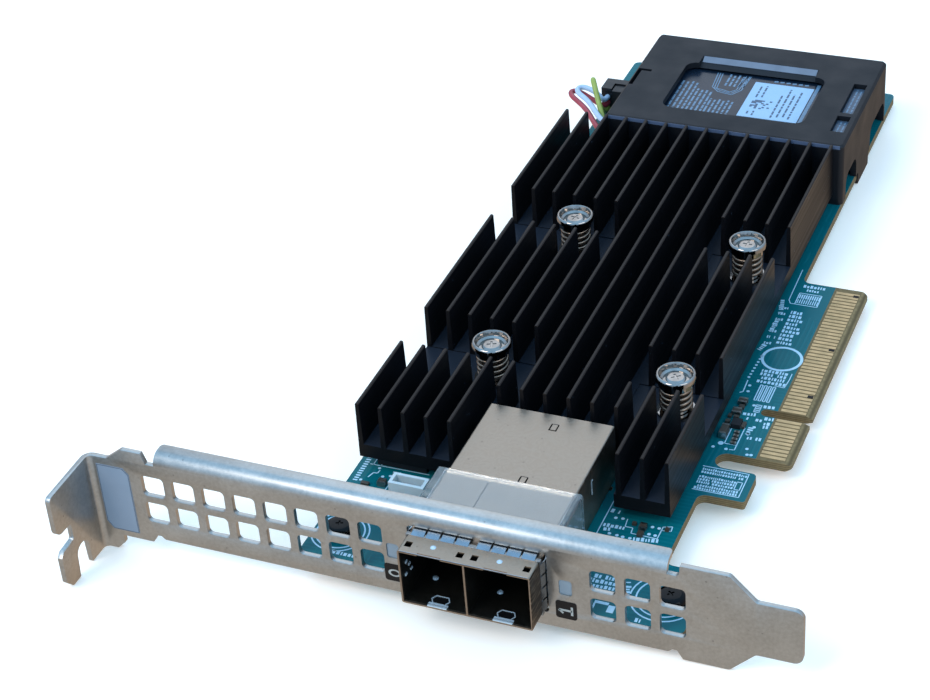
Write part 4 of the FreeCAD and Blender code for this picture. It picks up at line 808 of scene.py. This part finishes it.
class CARD_OT_ports(bpy.types.Operator):
    """Finish the port cage, its collar and the receptacles, and add the small pressed details, painted highlights and
    painted shade
    """
    bl_idname = "card.ports"
    bl_label = "Ports"

    def execute(self, context):
        dress(port_cage="cage", cage_divider="cage", shield_collar="spring_steel", port_receptacle_0="moulding",
              port_receptacle_1="moulding", receptacle_contacts="gold", light_guide="clear", status_lamps="lamp")
        # the shapes drawn into frames and its mesh take the pale latch finish as painted highlights
        frames = Print(PORT_FLOOR, PORT_FLOOR + 0.12)
        bright, dark = frames.mesh, bmesh.new()
        for middle in PORT_MIDDLES:
            # pressed dimple in the roof near the front, pale as a painted highlight
            bead(bright, middle - 0.3, CAGE_FRONT + 2.3, CAGE_TOP - 0.02, 0.5, 0.36)
            # latch keeper: two folds at the lip and a six-sided frame round the window behind them, pale as painted
            # highlights
            for near in (0.02, 0.55):
                slab(bright, middle - 1.2, middle + 2.0, CAGE_FRONT + near, CAGE_FRONT + near + 0.3,
                     PORT_FLOOR, PORT_FLOOR + 0.25)
            frames.path(0.16, *((middle + 0.35 + a, CAGE_FRONT + 1.8 + b) for a, b in (
                (-1.5, 0.0), (-1.0, 0.85), (1.0, 0.85), (1.5, 0.0), (1.0, -0.85), (-1.0, -0.85), (-1.5, 0.0))))
            # pressed pips in the floor in front of the contact block, pale as painted highlights
            for x, y in ((middle - 2.43, 1.14), (middle - 3.35, 6.02)):
                bead(bright, x, y, PORT_FLOOR, 0.55, 0.6)
            # a dark sheet of painted shade fills the window under each latch frame
            slab(dark, middle - 1.2, middle + 1.9, CAGE_FRONT + 0.95, CAGE_FRONT + 2.75, BOARD_TOP + 0.02,
                 PORT_FLOOR + 0.02)
        # painted glints on the inside of the left wall
        for y, z in ((-3.2, 10.8), (-2.2, 9.6), (-3.6, 8.6), (-1.6, 8.2)):
            slab(bright, CAGE_SIDES[0] + 0.2, CAGE_SIDES[0] + 0.34, y - 0.3, y + 0.3, z - 0.2, z + 0.2)
        place(bright, "port_painted_highlights", "latch")
        place(dark, "latch_window_shade", "moulding")
        # painted highlight: a bright strip along the turned front edge of the roof
        box_piece("cage_roof_edge_highlight", "spring_steel",
                  (CAGE_SIDES[0] + 0.3, CAGE_SIDES[1] - 0.3, CAGE_FRONT, CAGE_FRONT + 0.12, CAGE_TOP - 0.1,
                   CAGE_TOP + 0.01))
        # dark lines of painted shade that close the slits round the two sprung tabs in the roof, and a staple on the
        # right, pale as a painted highlight
        box_piece("roof_slit_shade_lines", "moulding",
                  *((ROOF_TABS_X - 0.6, ROOF_TABS_X + 0.6, y + 0.7, y + 0.85, CAGE_TOP - 0.05, CAGE_TOP + 0.008)
                    for y in ROOF_TABS_Y))
        staple = Print(-0.05, 0.08)
        staple.path(0.22, (0.0, 0.0), (0.0, 2.6), (0.5, 2.6))
        shift(staple.mesh, (CAGE_SIDES[1] + 0.1, 22.0, 9.6), Matrix.Rotation(math.pi / 2, 4, "Z") @ TIPPED)
        place(staple.mesh, "cage_side_staple", "latch")
        return {"FINISHED"}


class CARD_OT_heat_sink(bpy.types.Operator):
    """Finish the heat sink"""
    bl_idname = "card.heat_sink"
    bl_label = "Heat sink"

    def execute(self, context):
        dress(heat_sink="anodised")
        return {"FINISHED"}


class CARD_OT_battery(bpy.types.Operator):
    """Finish the battery cover, the cell and its film print, and the label"""
    bl_idname = "card.battery"
    bl_label = "Battery"

    def execute(self, context):
        dress(battery_housing="cover", battery_pack="film", battery_foam="foam", battery_label="paper",
              battery_header="plug", battery_plug="plug")
        chance = random.Random(11)
        film = Print(FILM_TOP - INK, FILM_TOP + INK, chance)
        # columns of print along the cell, in four groups
        for first, count, pitch, near, far, width in (
                (56.1, 4, 0.98, 133.4, 145.6, 0.42), (59.9, 4, 0.95, 134.0, 143.0, 0.42),
                (63.5, 6, 0.9, 132.6, 139.8, 0.4), (64.6, 5, 0.92, 145.5, 150.3, 0.4)):
            for k in range(count):
                film.dashes(first + pitch * k, near, far - 0.4 * (k % 2), width, 2.4)
        # three nested lines that arch over the upper group
        for k in range(3):
            gap = 0.5 * k
            film.path(0.2, (61.8 + gap, 150.3), (62.3 + gap, 144.4 - gap * 0.4), (63.9 + gap * 0.6, 142.8 + gap),
                      (66.9 - gap * 0.6, 142.2 + gap), (68.3 - gap, 144.4), (68.7 - gap, 150.3))
        # pale strip at the right of the window
        film.slab(82.4, 83.1, 134.3, 150.3)
        # short marks above the label
        for k in range(6):
            film.stroke((73.7 + 1.25 * k, 149.5), (74.5 + 1.25 * k, 149.7), 0.5)
        place(film.mesh, "film_print", "film_ink")
        label = Print(LABEL_TOP - INK, LABEL_TOP + INK, chance)
        for k, (near, far) in enumerate(((142.4, 146.8), (142.6, 147.2), (135.6, 136.9), (135.2, 137.0))):
            label.dashes(71.9 + 1.1 * (k % 2), near, far, 0.36, 1.8)
        for k, (near, far) in enumerate(((135.2, 144.5), (135.6, 147.0), (136.0, 145.2), (135.4, 146.4))):
            label.dashes(76.8 + 1.15 * k, near, far, 0.38, 1.8)
        # plain chequered patch
        for a in range(8):
            for b in range(7):
                if chance.random() < 0.5:
                    label.slab(71.6 + 0.5 * a, 72.1 + 0.5 * a, 137.9 + 0.5 * b, 138.4 + 0.5 * b)
        place(label.mesh, "label_print", "label_ink")
        # slate label that shows in the cover's side slot, each side of the bar, with pale rows
        box_piece("slot_label", "slot_label",
                  *((89.95, 92.4, near, far, SLOT_LABEL_TOP - 0.3, SLOT_LABEL_TOP) for near, far in SLOT_OPENINGS))
        rows = Print(SLOT_LABEL_TOP - INK, SLOT_LABEL_TOP + INK, chance)
        for near, far in SLOT_OPENINGS:
            for k in range(2):
                rows.dashes(90.8 + 0.85 * k, near + 0.6, far - 0.6, 0.3, 1.6)
        place(rows.mesh, "slot_label_print", "film_ink")
        # grey strip on the upper part of the ramp beyond the window, a painted highlight
        mesh = bmesh.new()
        tilt = moved(69.75, 152.7, 16.98) @ Matrix.Rotation(math.atan2(1.3, 3.3), 4, "X")
        block(mesh, tilt, (23.6, 1.6, 0.06))
        place(mesh, "ramp_highlight_strip", "ramp")
        # painted highlight: a band along the top of the cover's front face, where its edge catches light, that shows
        # between the fins' ends
        box_piece("cover_front_highlight_band", "cover_edge_highlight", (46.8, 93.2, 125.36, 125.42, 16.5, 17.24))
        return {"FINISHED"}


ROUTES = {
    "battery_lead_red": ("red", "lead_red", (
        (38.9, 147.2, 7.2), (38.9, 144.8, 7.2), (36.6, 144.9, 8.6), (32.0, 147.3, 9.1), (31.0, 145.0, 9.3),
        (36.7, 139.6, 9.7), (40.4, 134.0, 10.2), (43.4, 129.6, 10.6), (50.2, 129.6, 10.6))),
    "battery_lead_white": ("white", "lead_white", (
        (38.9, 147.2, 8.5), (38.9, 144.8, 8.5), (37.2, 145.4, 10.2), (33.6, 146.6, 10.6), (32.8, 144.4, 10.5),
        (37.2, 140.6, 10.7), (40.4, 135.8, 11.1), (43.8, 131.0, 11.8), (50.2, 131.0, 11.8))),
    "battery_lead_yellow": ("yellow", "lead_yellow", (
        (38.9, 147.2, 5.9), (38.9, 143.2, 5.9), (37.2, 143.2, 15.0), (38.3, 140.9, 14.8), (40.9, 137.6, 10.2),
        (43.6, 132.6, 9.4), (50.2, 132.6, 9.4))),
}


class CARD_OT_leads(bpy.types.Operator):
    """Lay the three battery leads from the plug to the cell"""
    bl_idname = "card.leads"
    bl_label = "Battery leads"

    def execute(self, context):
        diameter = context.scene.card_sizes.lead
        for node, (finish, slot, route) in ROUTES.items():
            name = node.replace("battery_lead", "round_lead")
            curve = bpy.data.curves.new(name, "CURVE")
            curve.dimensions = "3D"
            curve.bevel_depth = diameter / 2
            curve.bevel_resolution = 3
            curve.use_fill_caps = True
            spline = curve.splines.new("NURBS")
            spline.points.add(len(route) - 1)
            for point, (x, y, z) in zip(spline.points, route):
                point.co = (x * MM, y * MM, z * MM, 1.0)
            spline.order_u = 3
            spline.use_endpoint_u = True
            spline.resolution_u = 10
            curve.materials.append(FINISH[finish])
            lead = bpy.data.objects.new(name, curve)
            context.scene.collection.objects.link(lead)
            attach(lead, "root")
            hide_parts(node)
        return {"FINISHED"}


# The stage, in metres: the floor under the card, its size and its height at the origin with its rise along x
# and y, so that the card stands on the hook of its bracket's tab and the right clip of its battery cover
FLOOR_SIZE = 9.0
FLOOR_HEIGHT = -3.205 * MM
FLOOR_RISE = (0.02729, 0.01509)
CAMERA_TARGET = (42.410 * MM, 58.964 * MM, 5.0 * MM)
LAMPS_AIM = (65 * MM, 70 * MM, 8 * MM)
# name, place, side, power and colour of each soft lamp
LAMPS = (
    ("key_soft", (-0.42, -0.75, 1.0), 0.6, 7.5, (1.0, 0.9, 0.8)),
    ("back_soft", (-0.35, 1.05, 0.75), 0.9, 2.0, (1.0, 0.93, 0.86)),
    ("fill_soft", (0.95, -0.35, 0.7), 0.7, 2.5, (1.0, 0.95, 0.9)),
)
# the studio that the card mirrors: bright and cool overhead, pale at the walls, warm and darker low down
SKY = (0.58, 1.1, 1.7, 1.0)
WALLS = (0.58, 0.67, 0.8, 1.0)
LOW_FRONT = (0.64, 0.61, 0.575, 1.0)
LOW_BACK = (0.7, 0.55, 0.42, 1.0)


class CARD_OT_stage(bpy.types.Operator):
    """Set the floor, the soft lights and the camera"""
    bl_idname = "card.stage"
    bl_label = "Stage"

    def execute(self, context):
        scene = context.scene
        stage = scene.card_stage
        scene.view_settings.view_transform = "Standard"
        material, tree, shader, where = blank("floor_pale", Roughness=0.8, Specular_IOR_Level=0.1,
                                              Emission_Strength=0.2)
        paper = add(tree, "TexNoise", {"Scale": 6.0, "Detail": 2.0, "Vector": where})
        shade = Vector(stage.floor[:3]) * 0.985
        tone = add(tree, "Mix", {0: paper, 6: (*shade, 1.0), 7: stage.floor})
        tree.links.new(outlet(tone), shader.inputs["Base Color"])
        mesh = bmesh.new()
        bmesh.ops.create_grid(mesh, x_segments=2, y_segments=2, size=FLOOR_SIZE)
        for vert in mesh.verts:
            vert.co.z = FLOOR_HEIGHT + FLOOR_RISE[0] * vert.co.x + FLOOR_RISE[1] * vert.co.y
        data = bpy.data.meshes.new("floor")
        mesh.to_mesh(data)
        mesh.free()
        data.materials.append(material)
        floor = bpy.data.objects.new("floor", data)
        floor.visible_glossy = False
        scene.collection.objects.link(floor)

        world = bpy.data.worlds.new("studio")
        world.use_nodes = True
        scene.world = world
        tree = world.node_tree
        tree.nodes.clear()
        y, z = add(tree, "SeparateXYZ", {0: add(tree, "TexCoord", {}).outputs["Generated"]}).outputs[1:]
        lean = add(tree, "Math", {"operation": "MULTIPLY_ADD", 0: y, 1: -0.3, 2: z})
        above = add(tree, "MapRange", {"From Min": 0.0, "From Max": 0.8, "Value": lean})
        upper = add(tree, "MapRange", {"From Min": -0.3, "From Max": 0.1, "Value": z})
        behind = add(tree, "MapRange", {"From Min": -0.5, "From Max": 0.6, "Value": y})
        colour = add(tree, "Mix", {0: behind, 6: LOW_FRONT, 7: LOW_BACK})
        colour = add(tree, "Mix", {0: upper, 6: colour, 7: WALLS})
        colour = add(tree, "Mix", {0: above, 6: colour, 7: SKY})
        add(tree, "OutputWorld", {"Surface": add(tree, "Background", {"Strength": 1.0, "Color": colour})})

        for name, spot, size, power, tint in LAMPS:
            light = bpy.data.lights.new(name, "AREA")
            light.shape = "SQUARE"
            light.size = size
            light.energy = power
            light.color = tint
            light.specular_factor = 0.05
            lamp = bpy.data.objects.new(name, light)
            lamp.location = spot
            lamp.rotation_euler = (Vector(LAMPS_AIM) - Vector(spot)).to_track_quat("-Z", "Y").to_euler()
            scene.collection.objects.link(lamp)

        away = Vector((math.sin(stage.azimuth) * math.cos(stage.elevation),
                       -math.cos(stage.azimuth) * math.cos(stage.elevation), math.sin(stage.elevation)))
        right = (-away).cross(Vector((0, 0, 1))).normalized()
        upward = away.cross(right)
        turned = right * math.cos(stage.roll) + upward * math.sin(stage.roll)
        raised = upward * math.cos(stage.roll) - right * math.sin(stage.roll)
        data = bpy.data.cameras.new("card_camera")
        data.sensor_width = 36.0
        data.sensor_fit = "HORIZONTAL"
        data.lens = stage.lens
        data.clip_start = 0.01
        data.clip_end = 50.0
        camera = bpy.data.objects.new("card_camera", data)
        spot = Vector(CAMERA_TARGET) + away * stage.distance
        camera.matrix_world = Matrix((
            (turned.x, raised.x, away.x, spot.x), (turned.y, raised.y, away.y, spot.y),
            (turned.z, raised.z, away.z, spot.z), (0, 0, 0, 1),
        ))
        scene.collection.objects.link(camera)
        scene.camera = camera
        return {"FINISHED"}


OPERATORS = (CARD_OT_board, CARD_OT_small_parts, CARD_OT_bracket, CARD_OT_screws, CARD_OT_ports,
             CARD_OT_heat_sink, CARD_OT_battery, CARD_OT_leads, CARD_OT_stage)


class CARD_PT_panel(bpy.types.Panel):
    bl_idname = "CARD_PT_panel"
    bl_label = "Storage controller card"
    bl_space_type = "VIEW_3D"
    bl_region_type = "UI"
    bl_category = "Card"

    def draw(self, context):
        for group in (context.scene.card_colours, context.scene.card_sizes, context.scene.card_stage):
            box = self.layout.box()
            for name in group.__annotations__:
                box.prop(group, name)
        for operator in OPERATORS:
            self.layout.operator(operator.bl_idname)


CLASSES = (CardColours, CardSizes, CardStage) + OPERATORS + (CARD_PT_panel,)


def register():
    for cls in CLASSES:
        bpy.utils.register_class(cls)
    bpy.types.Scene.card_colours = PointerProperty(type=CardColours)
    bpy.types.Scene.card_sizes = PointerProperty(type=CardSizes)
    bpy.types.Scene.card_stage = PointerProperty(type=CardStage)


def unregister():
    del bpy.types.Scene.card_stage
    del bpy.types.Scene.card_sizes
    del bpy.types.Scene.card_colours
    for cls in reversed(CLASSES):
        bpy.utils.unregister_class(cls)


def main():
    register()
    FINISH.update(finishes(bpy.context.scene.card_colours))
    bpy.ops.card.board()
    bpy.ops.card.small_parts()
    bpy.ops.card.bracket()
    bpy.ops.card.screws()
    bpy.ops.card.ports()
    bpy.ops.card.heat_sink()
    bpy.ops.card.battery()
    bpy.ops.card.leads()
    bpy.ops.card.stage()


if __name__ == "__main__":
    main()
